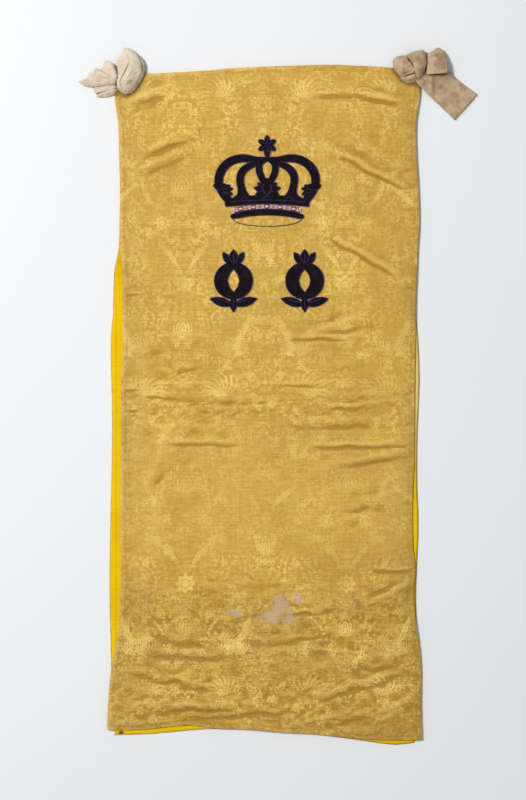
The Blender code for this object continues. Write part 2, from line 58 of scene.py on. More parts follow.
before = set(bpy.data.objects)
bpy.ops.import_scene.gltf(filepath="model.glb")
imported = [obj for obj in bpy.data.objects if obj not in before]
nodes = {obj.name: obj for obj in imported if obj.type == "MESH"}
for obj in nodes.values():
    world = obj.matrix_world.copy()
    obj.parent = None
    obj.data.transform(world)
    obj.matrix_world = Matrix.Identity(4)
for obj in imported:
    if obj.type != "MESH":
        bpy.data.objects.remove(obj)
cad_box = [list(corner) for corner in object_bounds()]
print("frame nodes:", ", ".join(sorted(nodes)))

# %% [markdown]
# ## Camera, table and light
# The mantle was photographed from straight above. A long lens keeps its edges parallel, and its
# distance follows from how much of the table the picture takes in.
# The light is soft and comes from the upper left: one wide lamp for shape, and a pale world that
# fills the shadows.

# %% Camera
# the picture's height in pixels, the size of a pixel on the cloth, and lens and sensor in mm
PICTURE_TALL = 800
PIXEL = 1.343 * MM
PICTURE_MIDDLE = -5.4 * MM
LENS = 100
SENSOR = 36
CLOTH_LEVEL = 6 * MM

camera = bpy.data.objects.new("camera", bpy.data.cameras.new("camera"))
camera.data.lens = LENS
camera.data.sensor_fit = "VERTICAL"
camera.data.sensor_height = SENSOR
camera_high = CLOTH_LEVEL + PICTURE_TALL * PIXEL * LENS / SENSOR
camera.location = (PICTURE_MIDDLE, 0, camera_high)
bpy.context.scene.collection.objects.link(camera)
bpy.context.scene.camera = camera
bpy.context.scene.view_settings.view_transform = "Standard"
print(f"camera {camera_high:.3f} m above the table")

# %% Lamps and world
KEY_PLACE = Vector((-1.5, 0.9, 2.9))
KEY_SIZE = 0.6
KEY_POWER = 83
WORLD_TINT = (0.97, 0.98, 1, 1)
WORLD_STRENGTH = 0.39

key = bpy.data.objects.new("key_lamp", bpy.data.lights.new("key_lamp", "AREA"))
key.data.shape = "DISK"
key.data.size = KEY_SIZE
key.data.energy = KEY_POWER
key.location = KEY_PLACE
key.rotation_euler = (-KEY_PLACE).to_track_quat("-Z", "Y").to_euler()
bpy.context.scene.collection.objects.link(key)

world = bpy.data.worlds.new("pale_world")
bpy.context.scene.world = world
world.use_nodes = True
sky = world.node_tree.nodes["Background"]
sky.inputs["Color"].default_value = WORLD_TINT
sky.inputs["Strength"].default_value = WORLD_STRENGTH
print("key lamp", KEY_POWER, "W and", KEY_SIZE, "m across")

# %% [markdown]
# ## Writing a finish
# Each finish is a tree of shader nodes. Three small classes keep the trees readable. A `Wire` is one
# output of a node, and can be added, multiplied and compared as if it were a number. A `Tree` adds
# any node from its type, its settings and its sockets. A `Finish` is a material, with the few groups
# of nodes that cloth needs again and again.

# %% The wire
class Wire:
    """One output of a node, which Python's operators can work on."""

    def __init__(self, owner, socket):
        self.owner = owner
        self.socket = socket

    def maths(self, operation, *values):
        """A Math node on one, two or three values."""
        values = dict(zip(("Value", "Value_001", "Value_002"), values))
        return self.owner.add("ShaderNodeMath", {"operation": operation}, values)

    def __add__(self, other):
        return self.maths("ADD", self, other)

    def __radd__(self, other):
        return self.maths("ADD", other, self)

    def __sub__(self, other):
        return self.maths("SUBTRACT", self, other)

    def __rsub__(self, other):
        return self.maths("SUBTRACT", other, self)

    def __mul__(self, other):
        return self.maths("MULTIPLY", self, other)

    def __rmul__(self, other):
        return self.maths("MULTIPLY", other, self)

    def __truediv__(self, other):
        return self.maths("DIVIDE", self, other)

    def __abs__(self):
        return self.maths("ABSOLUTE", self)

    def or_more(self, other):
        return self.maths("MAXIMUM", self, other)

    def or_less(self, other):
        return self.maths("MINIMUM", self, other)

    def __pow__(self, other):
        return self.maths("POWER", self, other)

    def cosine(self):
        return self.maths("COSINE", self)

    def sine(self):
        return self.maths("SINE", self)

    def fraction(self):
        return self.maths("FRACT", self)

    def zigzag(self, width):
        """Runs to and fro between 0 and a width."""
        return self.maths("PINGPONG", self, width)

    def wrapped(self, low, high):
        """Runs from low to high again and again."""
        return self.maths("WRAP", self, high, low)

    def wave(self, length):
        """A wave between -1 and 1 that repeats at a length."""
        return (self * (2 * math.pi / length)).cosine()

    def angle(self, across):
        """The direction of a place that lies this far up and so far across."""
        return self.maths("ARCTAN2", self, across)


print("wires ready")

# %% The tree
class Tree:
    """A node tree and the one method that adds nodes to it."""

    def add(self, kind, settings=None, sockets=None, out=0):
        """A node of a type: its settings are set first, then its sockets by identifier or name."""
        node = self.tree.nodes.new(kind)
        for key, value in (settings or {}).items():
            setattr(node, key, value)
        for key, value in (sockets or {}).items():
            found = [s for s in node.inputs if s.identifier == key] or [node.inputs[key]]
            if isinstance(value, Wire):
                self.tree.links.new(value.socket, found[0])
            else:
                found[0].default_value = value
        return Wire(self, node.outputs[out])

    def join(self, x, y, z=0.0):
        """A vector from its x, y and z."""
        return self.add("ShaderNodeCombineXYZ", None, {"X": x, "Y": y, "Z": z})


print("trees ready")

# %% The finish
class Finish(Tree):
    """A material, with the nodes that most finishes need."""

    def __init__(self, name):
        self.material = bpy.data.materials.new(name)
        self.material.use_nodes = True
        self.tree = self.material.node_tree
        self.tree.nodes.clear()
        self.place = self.add("ShaderNodeTexCoord", out="Object")

    def in_mm(self):
        """The place on the mantle, in millimetres."""
        return self.vector("SCALE", self.place, scale=1 / MM)

    def stored(self, name):
        """A number that the mesh keeps for each of its points."""
        return self.add("ShaderNodeAttribute", {"attribute_name": name}, out=2)

    def soft_step(self, value, low, high, start=0.0, end=1.0):
        """Goes smoothly from start to end while value goes from low to high."""
        sockets = {"Value": value, "From Min": low, "From Max": high, "To Min": start, "To Max": end}
        return self.add("ShaderNodeMapRange", {"interpolation_type": "SMOOTHSTEP"}, sockets)

    def blend(self, share, first, second):
        """A colour between two colours."""
        first, second = (c if isinstance(c, Wire) else (*c, 1) for c in (first, second))
        sockets = {"Factor_Float": share, "A_Color": first, "B_Color": second}
        return self.add("ShaderNodeMix", {"data_type": "RGBA"}, sockets, out=2)

    def vector(self, operation, *values, scale=1.0):
        """Vector arithmetic."""
        names = ("Vector", "Vector_001", "Vector_002")
        sockets = dict(zip(names, values)) | {"Scale": scale}
        number = operation in ("LENGTH", "DOT_PRODUCT", "DISTANCE")
        return self.add("ShaderNodeVectorMath", {"operation": operation}, sockets, out=int(number))

    def split(self, vector):
        """The x, y and z of a vector."""
        self.add("ShaderNodeSeparateXYZ", None, {"Vector": vector})
        return [Wire(self, socket) for socket in self.tree.nodes[-1].outputs]

    def noise(self, vector, scale, detail=2.0, roughness=0.5):
        """Cloudy noise from 0 to 1."""
        sockets = {"Vector": vector, "Scale": scale, "Detail": detail, "Roughness": roughness}
        return self.add("ShaderNodeTexNoise", None, sockets)

    def stretched(self, vector, x, y, z=1.0):
        """The place with each axis scaled, for streaks along a thread."""
        return self.vector("MULTIPLY", vector, (x, y, z))

    def streaks(self, place, across, up, detail=2.0, roughness=0.5):
        """Noise whose grains are so many millimetres wide and tall."""
        return self.noise(self.stretched(place, 1 / across, 1 / up), 1, detail, roughness)

    def spot(self, place, middle, reach, ragged):
        """A stain about a middle, in millimetres, with a ragged rim."""
        offset = self.vector("DIVIDE", self.vector("SUBTRACT", place, (*middle, 0)), (*reach, 1e6))
        far = self.vector("LENGTH", offset)
        return self.soft_step(far + (ragged - 0.5) * 1.8, 0.35, 1.15, 1, 0)

    def surface(self, height, depth, constants, sockets):
        """Ends the tree: a bump of a depth in metres, and the Principled shader's sockets."""
        bumped = {"Height": height, "Distance": depth, "Strength": 1.0}
        normal = self.add("ShaderNodeBump", None, bumped)
        shader = self.add("ShaderNodeBsdfPrincipled", None, constants | sockets | {"Normal": normal})
        end = self.tree.nodes.new("ShaderNodeOutputMaterial")
        self.tree.links.new(shader.socket, end.inputs["Surface"])
        return self.material


print("finishes ready")

# %% [markdown]
# ## The table
# A matt pale sheet of paper. It is stage, not part of the mantle, so it is marked as such. It lies a
# hair below the cloth, because two faces at one level would flicker.

# %% Table
TABLE_REACH = 4.0
TABLE_DROP = 0.2 * MM


def paper_finish():
    finish = Finish("pale_paper")
    fibre = finish.noise(finish.place, 260, 3)
    cloud = finish.noise(finish.place, 1.3, 2)
    tint = finish.blend(cloud, (0.83, 0.835, 0.845), (0.86, 0.865, 0.87))
    return finish.surface(fibre, 0.05 * MM, {"Roughness": 0.9}, {"Base Color": tint})


corners = [
    (x * TABLE_REACH, y * TABLE_REACH, -TABLE_DROP) for x, y in ((-1, -1), (1, -1), (1, 1), (-1, 1))
]
table_mesh = bpy.data.meshes.new("table")
table_mesh.from_pydata(corners, [], [(0, 1, 2, 3)])
table = bpy.data.objects.new("table", table_mesh)
table.data.materials.append(paper_finish())
bpy.context.scene.collection.objects.link(table)
table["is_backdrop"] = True
print("table", TABLE_REACH * 2, "m square")

# %% [markdown]
# ## Reading the outline of a sheet
# Each panel's outline is already in the frame: its rim faces point left, right, down or up. Their
# corners, sorted along the side, give one curve for each side. A finer sheet is then spread between
# the four curves, with its rows closer together at the edges, where the cloth turns over.

# %% Sheet plan
HEM_LEVEL = -445 * MM
SEAM_LEVEL = 440 * MM
# how fast the bend of the hem and seam fades inwards, and how squarely a rim face looks sideways
BEND_FADE = 7
RIM_FACES = 0.72
# distance of the first rows from an edge (mm), the usual size of a panel (m), and the front's grid
EDGE_ROWS = (0, 0.25, 0.7, 1.4, 2.6)
USUAL_WIDE, USUAL_TALL = 0.4, 0.885
GRID_STEP = (4.1 * MM, 2.15 * MM)


def rim_curve(node, axis, sign):
    """The side of a node whose faces look along an axis, as a curve along the other axis."""
    mesh = nodes[node].data
    spots = set()
    for face in mesh.polygons:
        if face.normal[axis] * sign > RIM_FACES:
            for index in face.vertices:
                spot = mesh.vertices[index].co
                spots.add((round(spot[1 - axis], 6), round(spot[axis], 6)))
    rows = np.array(sorted(spots))
    return lambda at: np.interp(at, rows[:, 0], rows[:, 1])


def shares(length, step):
    """Places from 0 to 1 along a length, close together near both ends."""
    near = [value * MM / length for value in EDGE_ROWS]
    inner = np.linspace(near[-1], 1 - near[-1], max(2, round(length / step)))
    return np.concatenate([near[:-1], inner, [1 - value for value in reversed(near[:-1])]])


def sheet_plan(node, step_x, step_y):
    """A grid over a panel: x, y and the way to the nearest edge, for each point."""
    left, right = rim_curve(node, 0, -1), rim_curve(node, 0, 1)
    hem, seam = rim_curve(node, 1, -1), rim_curve(node, 1, 1)
    across = shares(USUAL_WIDE, step_x)[None, :]
    up = shares(USUAL_TALL, step_y)[:, None]
    level = HEM_LEVEL + (SEAM_LEVEL - HEM_LEVEL) * up
    x = left(level) + (right(level) - left(level)) * across
    bend = (hem(x) - HEM_LEVEL) * (1 - up) ** BEND_FADE + (seam(x) - SEAM_LEVEL) * up**BEND_FADE
    y = level + bend
    edge = np.minimum.reduce([x - left(y), right(y) - x, y - hem(x), seam(x) - y])
    return x, y, np.maximum(edge, 0)


plan = sheet_plan("front_panel", *GRID_STEP)
print("front panel grid", plan[0].shape)

# %% [markdown]
# ## From a plan to cloth
# A sheet of cloth has a face, a back and a turned edge. Both sides are grids that meet in a rounded
# rim, so the sheet is one closed shell and shows a soft edge instead of a cut one.
# Each sheet also stores numbers for its points, such as the way to its nearest edge. The finishes
# read them, so that wear and painted shade follow the cloth and not the picture.

# %% Cloth sheet
# half the thickness that is left at the very edge
RIM_HALF = 0.05 * MM


def add_object(name, mesh, material):
    """An object that rides on the mantle's one body, in one finish."""
    made = bpy.data.objects.new(name, mesh)
    mesh.materials.clear()
    mesh.materials.append(material)
    bpy.context.scene.collection.objects.link(made)
    mesh.shade_smooth()
    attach(made, "root")
    return made


def shell(face, back):
    """The points and faces of a closed shell between two grids of points."""
    rows, columns = face.shape[:2]
    points = np.concatenate([back.reshape(-1, 3), face.reshape(-1, 3)])
    index = np.arange(rows * columns).reshape(rows, columns)
    quads = np.stack([index[:-1, :-1], index[:-1, 1:], index[1:, 1:], index[1:, :-1]], -1)
    upper = quads.reshape(-1, 4) + rows * columns
    lower = quads.reshape(-1, 4)[:, ::-1]
    loop = np.concatenate([index[0, :], index[1:, -1], index[-1, -2::-1], index[-2:0:-1, 0]])
    ahead = np.roll(loop, -1)
    rim = np.stack([loop, ahead, ahead + rows * columns, loop + rows * columns], -1)
    return points, np.concatenate([upper, lower, rim])


def closed_sheet(name, face, back):
    """A sheet from two grids of points, with their rims joined."""
    points, faces = shell(face, back)
    mesh = bpy.data.meshes.new(name)
    mesh.from_pydata(points.tolist(), [], faces.tolist())
    return mesh


def turned_edge(edge, thickness):
    """How far the face sinks towards the middle of the cloth near its edge."""
    short = np.clip(1 - edge / thickness, 0, 1)
    return (thickness / 2 - RIM_HALF) * (1 - np.sqrt(np.maximum(1 - short**2, 0)))


def store(mesh, name, values):
    """Stores a number for each point of a mesh."""
    mesh.attributes.new(name, "FLOAT", "POINT").data.foreach_set("value", values)


def keep(mesh, name, grid):
    """Stores a number for each point of a sheet, the same on its face and its back."""
    store(mesh, name, np.tile(grid.ravel(), 2))


def cloth(name, plan, height, thickness):
    """A sheet on a plan, where height is that of its underside."""
    x, y, edge = plan
    sink = turned_edge(edge, thickness)
    face = np.stack([x, y, height + thickness - sink], -1)
    back = np.stack([x, y, height + sink], -1)
    mesh = closed_sheet(name, face, back)
    keep(mesh, "edge", edge / MM)
    return mesh


print("cloth helpers ready")

# %% Creases and ripples
def crease_height(x, y, rows):
    """Ridges, and troughs where the height is below zero, along short runs given in millimetres."""
    total = np.zeros_like(x)
    for row in rows:
        x0, y0, x1, y1, half_width, height = (value * MM for value in row)
        run = np.array((x1 - x0, y1 - y0))
        share = np.clip(((x - x0) * run[0] + (y - y0) * run[1]) / (run @ run), 0, 1)
        far = np.hypot(x - x0 - run[0] * share, y - y0 - run[1] * share)
        taper = np.sin(np.pi * (0.1 + 0.8 * share))
        total += height * taper * np.exp(-((far / half_width) ** 2))
    return total


def ripples(x, y, seed, count, shortest, longest, flat=1.0):
    """Faint unevenness: a few dozen waves in seeded directions, of height about 1."""
    random = np.random.default_rng(seed)
    total = np.zeros_like(x)
    for _ in range(count):
        turn = random.uniform(0, math.pi)
        length = random.uniform(shortest, longest) * MM
        along = x * math.cos(turn) + y * math.sin(turn) * flat
        total += np.sin(2 * math.pi * along / length + random.uniform(0, 2 * math.pi))
    return total / math.sqrt(count)


print("crease helpers ready")

# %% [markdown]
# ## The front panel
# The real front lies loose on its lining. Two long creases run down to the right of the crown, a band
# of flat wrinkles crosses the middle, where the mantle was folded, and the hem bulges.
# A cloth simulation would fold it in its own way, and these creases have their own places. So the
# broad folds come from the frame's own panel: rays sent down onto it give their heights, which are
# The finer creases are added one by one, each in its own width and height.
# Each point also keeps how hollow it lies, so that the finish can paint shade in hollows and a highlight on
# ridges.

# %% Creases of the front panel
# start x, start y, end x, end y, half width, height (mm)
FINE_CREASES = (
    (50, 352, 108, 330, 4.5, 0.9),
    (82, 336, 106, 327, 3.0, 1.5),
    (103, 329, 182, 289, 3.0, 2.2),
    (100, 325, 180, 284.5, 2.0, -2.4),
    (112, 352, 176, 322, 9, 1.3),
    (86, 222, 178, 169, 3.6, 1.7),
    (84, 217, 176, 163, 2.4, -1.5),
    (-22, 95, 36, 85.5, 3.2, 0.8),
    (34, 85.5, 108, 84.5, 3.0, 1.2),
    (34, 81, 106, 80.5, 2.2, -1.3),
    (52, 90, 138, 117, 6, 1.6),
    (70, 84, 150, 100, 5, -0.9),
    (68, 414, 128, 414, 5, 0.9),
    (66, 408, 128, 408, 5, -1.1),
    (126, 414, 178, 402, 4, 1.6),
    (124, 408, 176, 396, 4, -1.5),
    (-196, 397, -126, 424, 5, 1.5),
    (-190, 384, -128, 410, 4.5, -1.0),
    (-163, 333, -116, 354, 5, 1.3),
    (-163, 326, -114, 346, 4.5, -1.4),
    (-118, 352, -48, 378, 5.5, 1.0),
    (-196, 161, -184, 160, 1.6, 1.0),
    (-196, 158, -186, 158, 1.4, -0.9),
    (-194, 144, -167, 144, 1.8, 1.1),
    (-194, 141.5, -167, 141.5, 1.6, -1.2),
    (-196, 16.5, -170, 16.5, 2.0, 1.2),
    (-196, 13.5, -171, 14, 1.8, -1.3),
    (-197, -12.5, -172, -12.5, 1.8, 1.0),
    (-197, -15.5, -173, -15, 1.8, -1.2),
    (-6, 22.5, 88, 22.5, 3.0, 0.8),
    (-6, 18.5, 88, 19, 2.6, -0.9),
    (84, -6.5, 124, -7.5, 2.6, 0.9),
    (84, -10.5, 124, -11, 2.4, -1.0),
    (62, -59, 188, -58.5, 3.2, 1.5),
    (62, -64, 186, -63, 2.6, -1.3),
    (-154, -54.5, -28, -55.5, 3.0, 1.1),
    (-154, -59.5, -28, -60, 2.8, -0.6),
    (-150, 43, -122, 37, 3.4, 1.2),
    (-126, 36, -88, 45, 3.2, -0.9),
    (-112, 5, 10, 2, 4, 0.6),
    (20, -28, 150, -24, 4.5, 0.9),
    (30, -38, 160, -36, 4, -0.8),
    (-180, -32, -60, -36, 4, 0.7),
    (-124, -26, -155, -94, 7, 0.5),
    (-155, -94, -171, -139, 6, 0.4),
    (-136, -94, -160, -126, 6, -0.7),
    (-152, -120, -149, -188, 7, 0.3),
    (-168, -130, -166, -190, 6, -0.4),
    (144, -226, 196, -226.5, 2.4, 1.2),
    (144, -231, 195, -230.5, 2.2, -1.6),
    (140, -272, 189, -247, 3.6, 2.0),
    (142, -262, 178, -246, 5, -1.6),
    (26, -286, 92, -275.5, 3.4, 1.1),
    (26, -292, 92, -282, 3.0, -0.8),
    (-190, -339, 60, -336, 6, 0.8),
    (-150, -346, -40, -348, 5, -1.0),
    (-120, -380, 160, -382, 6, 0.7),
    (-198, -407, -16, -409, 4.5, 1.2),
    (-150, -421, -20, -414, 4.5, -1.1),
    (24, -439, 128, -413, 4.5, 1.3),
    (60, -448, 200, -402, 5, -0.9),
    (120, -424, 202, -402, 5, 1.5),
    (-200, -428, -120, -434, 5, 1.0),
    (98, -352, 190, -338, 6, 1.2),
    (110, -366, 190, -356, 5, -0.8),
    (60, 40, 150, 62, 7, 1.0),
    (-160, 96, -96, 118, 8, 0.8),
    (-170, 62, -100, 70, 8, -0.7),
    (-60, -110, 10, -104, 7, 0.6),
    (96, -120, 178, -108, 8, 1.0),
    (100, -150, 170, -146, 7, -0.9),
    (104, -180, 180, -172, 8, 1.0),
    (-162, 130, -166, -60, 6, 0.4),
    (-158, -190, -168, -330, 7, 0.5),
    (-192, 25, -58, 20, 2.6, 0.8),
    (-192, 6, -100, -1, 2.6, -0.8),
    (-125, -13, 15, -8, 3, 0.7),
    (80, -10, 193, 3, 3, 0.9),
    (87, -86, 193, -66, 4, 0.9),
    (90, -94, 193, -75, 3, -0.8),
    (114, -139, 193, -119, 5, 0.9),
    (80, -172, 140, -149, 5, 0.7),
    (-188, 305, -98, 338, 7, 0.9),
    (-186, 296, -100, 328, 5, -0.6),
    (-191, -358, -65, -384, 4, 0.8),
    (-191, -366, -70, -392, 3.4, -0.9),
    (-112, -424, 47, -411, 4, 1.0),
    (-112, -431, 47, -419, 3.4, -0.8),
    (54, -398, 193, -358, 5, 1.0),
    (60, -407, 195, -368, 4, -0.8),
    (140, -437, 199, -391, 4, 1.1),
    (-12, -325, 87, -308, 4, 0.8),
    (-10, -333, 87, -317, 3.4, -0.6),
    (-165, -308, -32, -335, 4, 0.8),
    (-160, -317, -34, -344, 3.4, -0.6),
)
print("front panel", len(FINE_CREASES), "creases")

# %% Front panel shape
# thickness of the cloth here and in the frame
DAMASK_THICK = 1.0 * MM
FRAME_THICK = 1.2 * MM
# passes of smoothing over the broad folds, and over what a hollow is measured from
SMOOTHING = 9
HOLLOW_SMOOTHING = 14
# the least height of the underside, the scale of all creases, and the share that keeps rays inside
LEAST_HEIGHT = 4.0 * MM
CREASE_DEPTH = 1.6
INSIDE = 0.999
# the velvet's half width and its lowest and highest place (mm), and the most height under it
VELVET_HALF, VELVET_LOW, VELVET_HIGH = 92, 104, 366
UNDER_VELVET = 7.55 * MM


def panel_height(node, x, y):
    """The height of a node's upper side under each point, by rays sent down just inside its rim."""
    mesh = nodes[node].data
    tree = BVHTree.FromPolygons([v.co for v in mesh.vertices], [p.vertices for p in mesh.polygons])
    heights = np.zeros(x.size)
    for number, (px, py) in enumerate(zip(x.ravel() * INSIDE, y.ravel() * INSIDE)):
        hit = tree.ray_cast(Vector((px, py, 1)), Vector((0, 0, -1)))[0]
        if hit is None:
            hit = tree.find_nearest(Vector((px, py, CLOTH_LEVEL)))[0]
        heights[number] = hit.z
    return heights.reshape(x.shape)


def smoothed(grid, passes):
    """A grid with its bumps evened out."""
    for _ in range(passes):
        padded = np.pad(grid, 1, mode="edge")
        grid = (padded[:-2, 1:-1] + 2 * padded[1:-1, 1:-1] + padded[2:, 1:-1]) / 4
        padded = np.pad(grid, 1, mode="edge")
        grid = (padded[1:-1, :-2] + 2 * padded[1:-1, 1:-1] + padded[1:-1, 2:]) / 4
    return grid


def close_to(place, middle, reach):
    """1 at a middle, and 0 well beyond a reach, in millimetres."""
    return np.exp(-(((place / MM - middle) / reach) ** 2))


def front_height(x, y, edge):
    """The underside of the front panel."""
    low = smoothed(panel_height("front_panel", x, y), SMOOTHING) - FRAME_THICK
    # creases wander, most of all near the hem
    slack = np.interp(y / MM, (-230, -130), (1, 0.4)) * MM
    drift_x = ripples(x, y, 21, 8, 40, 90) * slack * 2.2
    drift_y = ripples(x, y, 22, 9, 22, 60) * slack * 2.3
    fine = crease_height(x + drift_x, y + drift_y, FINE_CREASES)
    # faint waves all over, and more in the middle, at the hem and beside the seams
    waves = ripples(x, y, 5, 36, 14, 46) * 0.17 * MM
    waves += ripples(x, y, 9, 24, 9, 22, 3.0) * 0.24 * MM * close_to(y, -10, 46)
    waves += ripples(x, y, 11, 24, 12, 26, 1.3) * 0.36 * MM * close_to(y, -400, 50)
    waves += ripples(x * 0.3, y, 13, 24, 5, 15) * 0.26 * MM * close_to(np.abs(x), 192, 11)
    high = low + (fine * CREASE_DEPTH + waves) * np.clip(edge / (8 * MM), 0.3, 1)
    under = (np.abs(x / MM) < VELVET_HALF) & (y / MM > VELVET_LOW) & (y / MM < VELVET_HIGH)
    ceiling = np.where(under, UNDER_VELVET - DAMASK_THICK, 1)
    return np.clip(high, LEAST_HEIGHT, ceiling)


print("height helpers ready")

# %% Front panel
x, y, edge = plan
height = front_height(x, y, edge)
front_mesh = cloth("mantle_front", plan, height, DAMASK_THICK)
# how hollow each point lies, from which the damask paints shade in hollows and a highlight on ridges
keep(front_mesh, "hollow", (smoothed(height, HOLLOW_SMOOTHING) - height) / MM)
print("front panel", len(front_mesh.polygons), "faces")

# %% [markdown]
# ## The damask finish
# Damask is woven in one colour. Its figure shows because the threads of the figure lie the other way
# and catch the light, so the figure is a little paler and glossier than the ground.
# The repeat is 216 mm wide and mirrored about upright lines. Folding the place about those lines
# makes every motif come twice, as on the loom. Small flowers and leaves fill the ground, one in each
# cell of a Voronoi pattern. Larger rosettes, sprays and feathers each have their own place in the
# repeat. A picture of the cloth would be simpler, but maths stays sharp at any distance.

# %% Large motifs
# the gap between the barbs of a spray and of a feather (mm)
BARB_GAP = 4.2
LEAF_BARB_GAP = 4.4


class Motifs:
    """Shapes of a woven figure, each a mask from 0 to 1, in millimetres on the folded place."""

    def __init__(self, finish, across, up):
        self.finish = finish
        self.across = across
        self.up = up

    def around(self, x, y):
        """Distance and angle about a point."""
        dx, dy = self.across - x, self.up - y
        return (dx * dx + dy * dy) ** 0.5, dy.angle(dx)

    def rosette(self, x, y, reach, petals):
        """A round flower with a ring about its heart."""
        far, turn = self.around(x, y)
        rim = (turn * petals).cosine() * (reach * 0.16) + reach * 0.8
        petal = self.finish.soft_step(rim - far, -0.5, 0.7)
        ring = self.finish.soft_step(abs(far - reach * 0.42), 0.4, 1.0)
        return petal * ring

    def spray(self, x, y, reach, blades, low, high, curl):
        """Feathered blades that spread from a root between two angles, in radians, and curl."""
        far, turn = self.around(x, y)
        turn = turn - far * far * (curl / reach**2)
        step = (high - low) / blades
        barbs = far.wave(BARB_GAP) * 0.35 + 1
        thick = (far * (math.pi / reach)).sine() * barbs * (reach * step * 0.13)
        blade = self.finish.soft_step(thick - (turn - low).zigzag(step / 2) * far, -0.4, 0.35)
        half = (high - low) / 2
        inside = self.finish.soft_step(abs(turn - low - half), half, half + 0.06, 1, 0)
        return blade * inside * self.finish.soft_step(far, reach - 1, reach, 1, 0)

    def feather(self, x, y, direction, length, width, bend):
        """One long leaf from a root, with barbs along both sides of its rib."""
        dx, dy = self.across - x, self.up - y
        along = dx * math.cos(direction) + dy * math.sin(direction)
        rib = along * along * (bend / length**2)
        off = abs(dy * math.cos(direction) - dx * math.sin(direction) - rib)
        barbs = (along - off * 0.9).wave(LEAF_BARB_GAP) * (width * 0.3)
        rim = along * (length - along) * (4 * width / length**2) + barbs
        return self.finish.soft_step(rim - off, -0.3, 0.5) * self.finish.soft_step(off, 0.15, 0.55, 0.3, 1)


print("large motifs ready")

# %% Small motifs
def in_cells(finish, place, cell, scatter):
    """The place as seen from the middle of its own cell."""
    sockets = {"Vector": place, "Scale": 1 / cell, "Randomness": scatter}
    spot = finish.add("ShaderNodeTexVoronoi", {"voronoi_dimensions": "2D"}, sockets, out="Position")
    return finish.vector("SUBTRACT", place, spot)


def small_flowers(finish, place, cell, reach, petals):
    """A flower in each cell."""
    x, y, _ = finish.split(in_cells(finish, place, cell, 0.8))
    far = (x * x + y * y) ** 0.5
    rim = (y.angle(x) * petals).cosine() * (reach * 0.24) + reach * 0.76
    petal = finish.soft_step(rim - far, -0.5, 0.6)
    return petal * finish.soft_step(abs(far - reach * 0.36), 0.35, 0.9)


def small_leaves(finish, place, cell, length, width):
    """A leaf in each cell, turned along a slowly changing direction."""
    turned = {"Vector": in_cells(finish, place, cell, 0.9), "Angle": finish.noise(place, 1 / 30, 0) * 22}
    turned = finish.add("ShaderNodeVectorRotate", {"rotation_type": "Z_AXIS"}, turned)
    x, y, _ = finish.split(turned)
    half = (1 - x * x / (length * length)) * width
    body = finish.soft_step(half - abs(y), -0.4, 0.4)
    return body * finish.soft_step(abs(y), 0.1, 0.5, 0.25, 1)


print("small motifs ready")

# %% The figure
# the repeat's width and height, a mirror line and the lowest row (mm)
REPEAT = 216.3
RISE = 401.0
MIRROR_X = 111.5
FIRST_ROW = -447.0


def figure_mask(finish, x, y):
    """The small figure, and the large motifs that repeat up the cloth."""
    fold = (x + MIRROR_X + y * 0.006).zigzag(REPEAT / 2)
    place = finish.join(fold, y)
    rise = y.wrapped(FIRST_ROW, FIRST_ROW + RISE) - FIRST_ROW
    leaves = small_leaves(finish, place, 7.6, 4.6, 1.5)
    flowers = small_flowers(finish, place, 21, 5.6, 6)
    stem = finish.noise(place, 1 / 34, 1) * 9
    stems = finish.soft_step(abs(stem.fraction() - 0.5), 0.05, 0.13, 1, 0)
    small = leaves.or_more(flowers).or_more(stems * 0.7)
    motifs = Motifs(finish, fold, rise)
    big = motifs.rosette(0, 200, 14, 8)
    for part in (
        motifs.rosette(27, 284, 11, 9),
        motifs.rosette(99, 44, 9, 7),
        motifs.rosette(20, 107, 6, 5),
        motifs.spray(50, 50, 36, 8, 0.3, 2.8, 0.7),
        motifs.spray(64, 104, 36, 6, 1.6, 3.0, -1.0),
        motifs.spray(66, 104, 32, 4, 0.1, 1.0, 1.0),
        motifs.spray(0, 128, 32, 5, 0.5, 1.9, 1.0),
        motifs.spray(108, 238, 38, 5, 1.3, 2.6, -1.1),
        motifs.spray(0, 318, 36, 5, 0.5, 1.9, 1.1),
        motifs.feather(64, 110, 1.0, 60, 4, 7),
        motifs.feather(6, 218, 1.15, 46, 3.4, -10),
        motifs.feather(100, 300, 2.2, 52, 3.6, 12),
        motifs.feather(38, 306, 0.9, 42, 3.4, 10),
    ):
        big = big.or_more(part)
    near = finish.noise(place, 1 / 26, 1)
    small = small * finish.soft_step(near, 0.35, 0.62, 0.3, 1)
    return small, big * finish.soft_step(near, 0.3, 0.55, 0.55, 1)


print("figure ready")

# %% [markdown]
# ## Dirt, wear and painted shade on the damask
# The cloth is old. Its ground is flecked, brown clouds lie over it, and the low part has the
# strongest figure and dark gaps in it. Shade is painted dark in the hollows and a highlight pale on
# the ridges, the turned edges are rubbed, a dark line of painted shade follows the seams, a few bare
# patches show rose, and a painted shadow lies beside the knots.
# Each of these is one more colour blended over the last, with a mask that says where and how much.

# %% Dirt, wear and painted shade
GROUND = (0.60, 0.345, 0.045)
DEEP_GROUND = (0.40, 0.215, 0.024)
FIGURE = (0.91, 0.65, 0.165)
WORN = (0.76, 0.52, 0.19)
SOILED = (0.42, 0.23, 0.036)
# painted shadow that lies beside the knots
PAINTED_KNOT_SHADOW = (0.20, 0.095, 0.012)
BARE_PATCH = (0.62, 0.42, 0.28)
# middle x and y, reach across and up (mm)
BARE_PLACES = (
    ((-44, -286), (13, 7)),
    ((6, -291), (18, 11)),
    ((19, -277), (12, 17)),
    ((31, -293), (9, 12)),
    ((42, -267), (8, 9)),
)


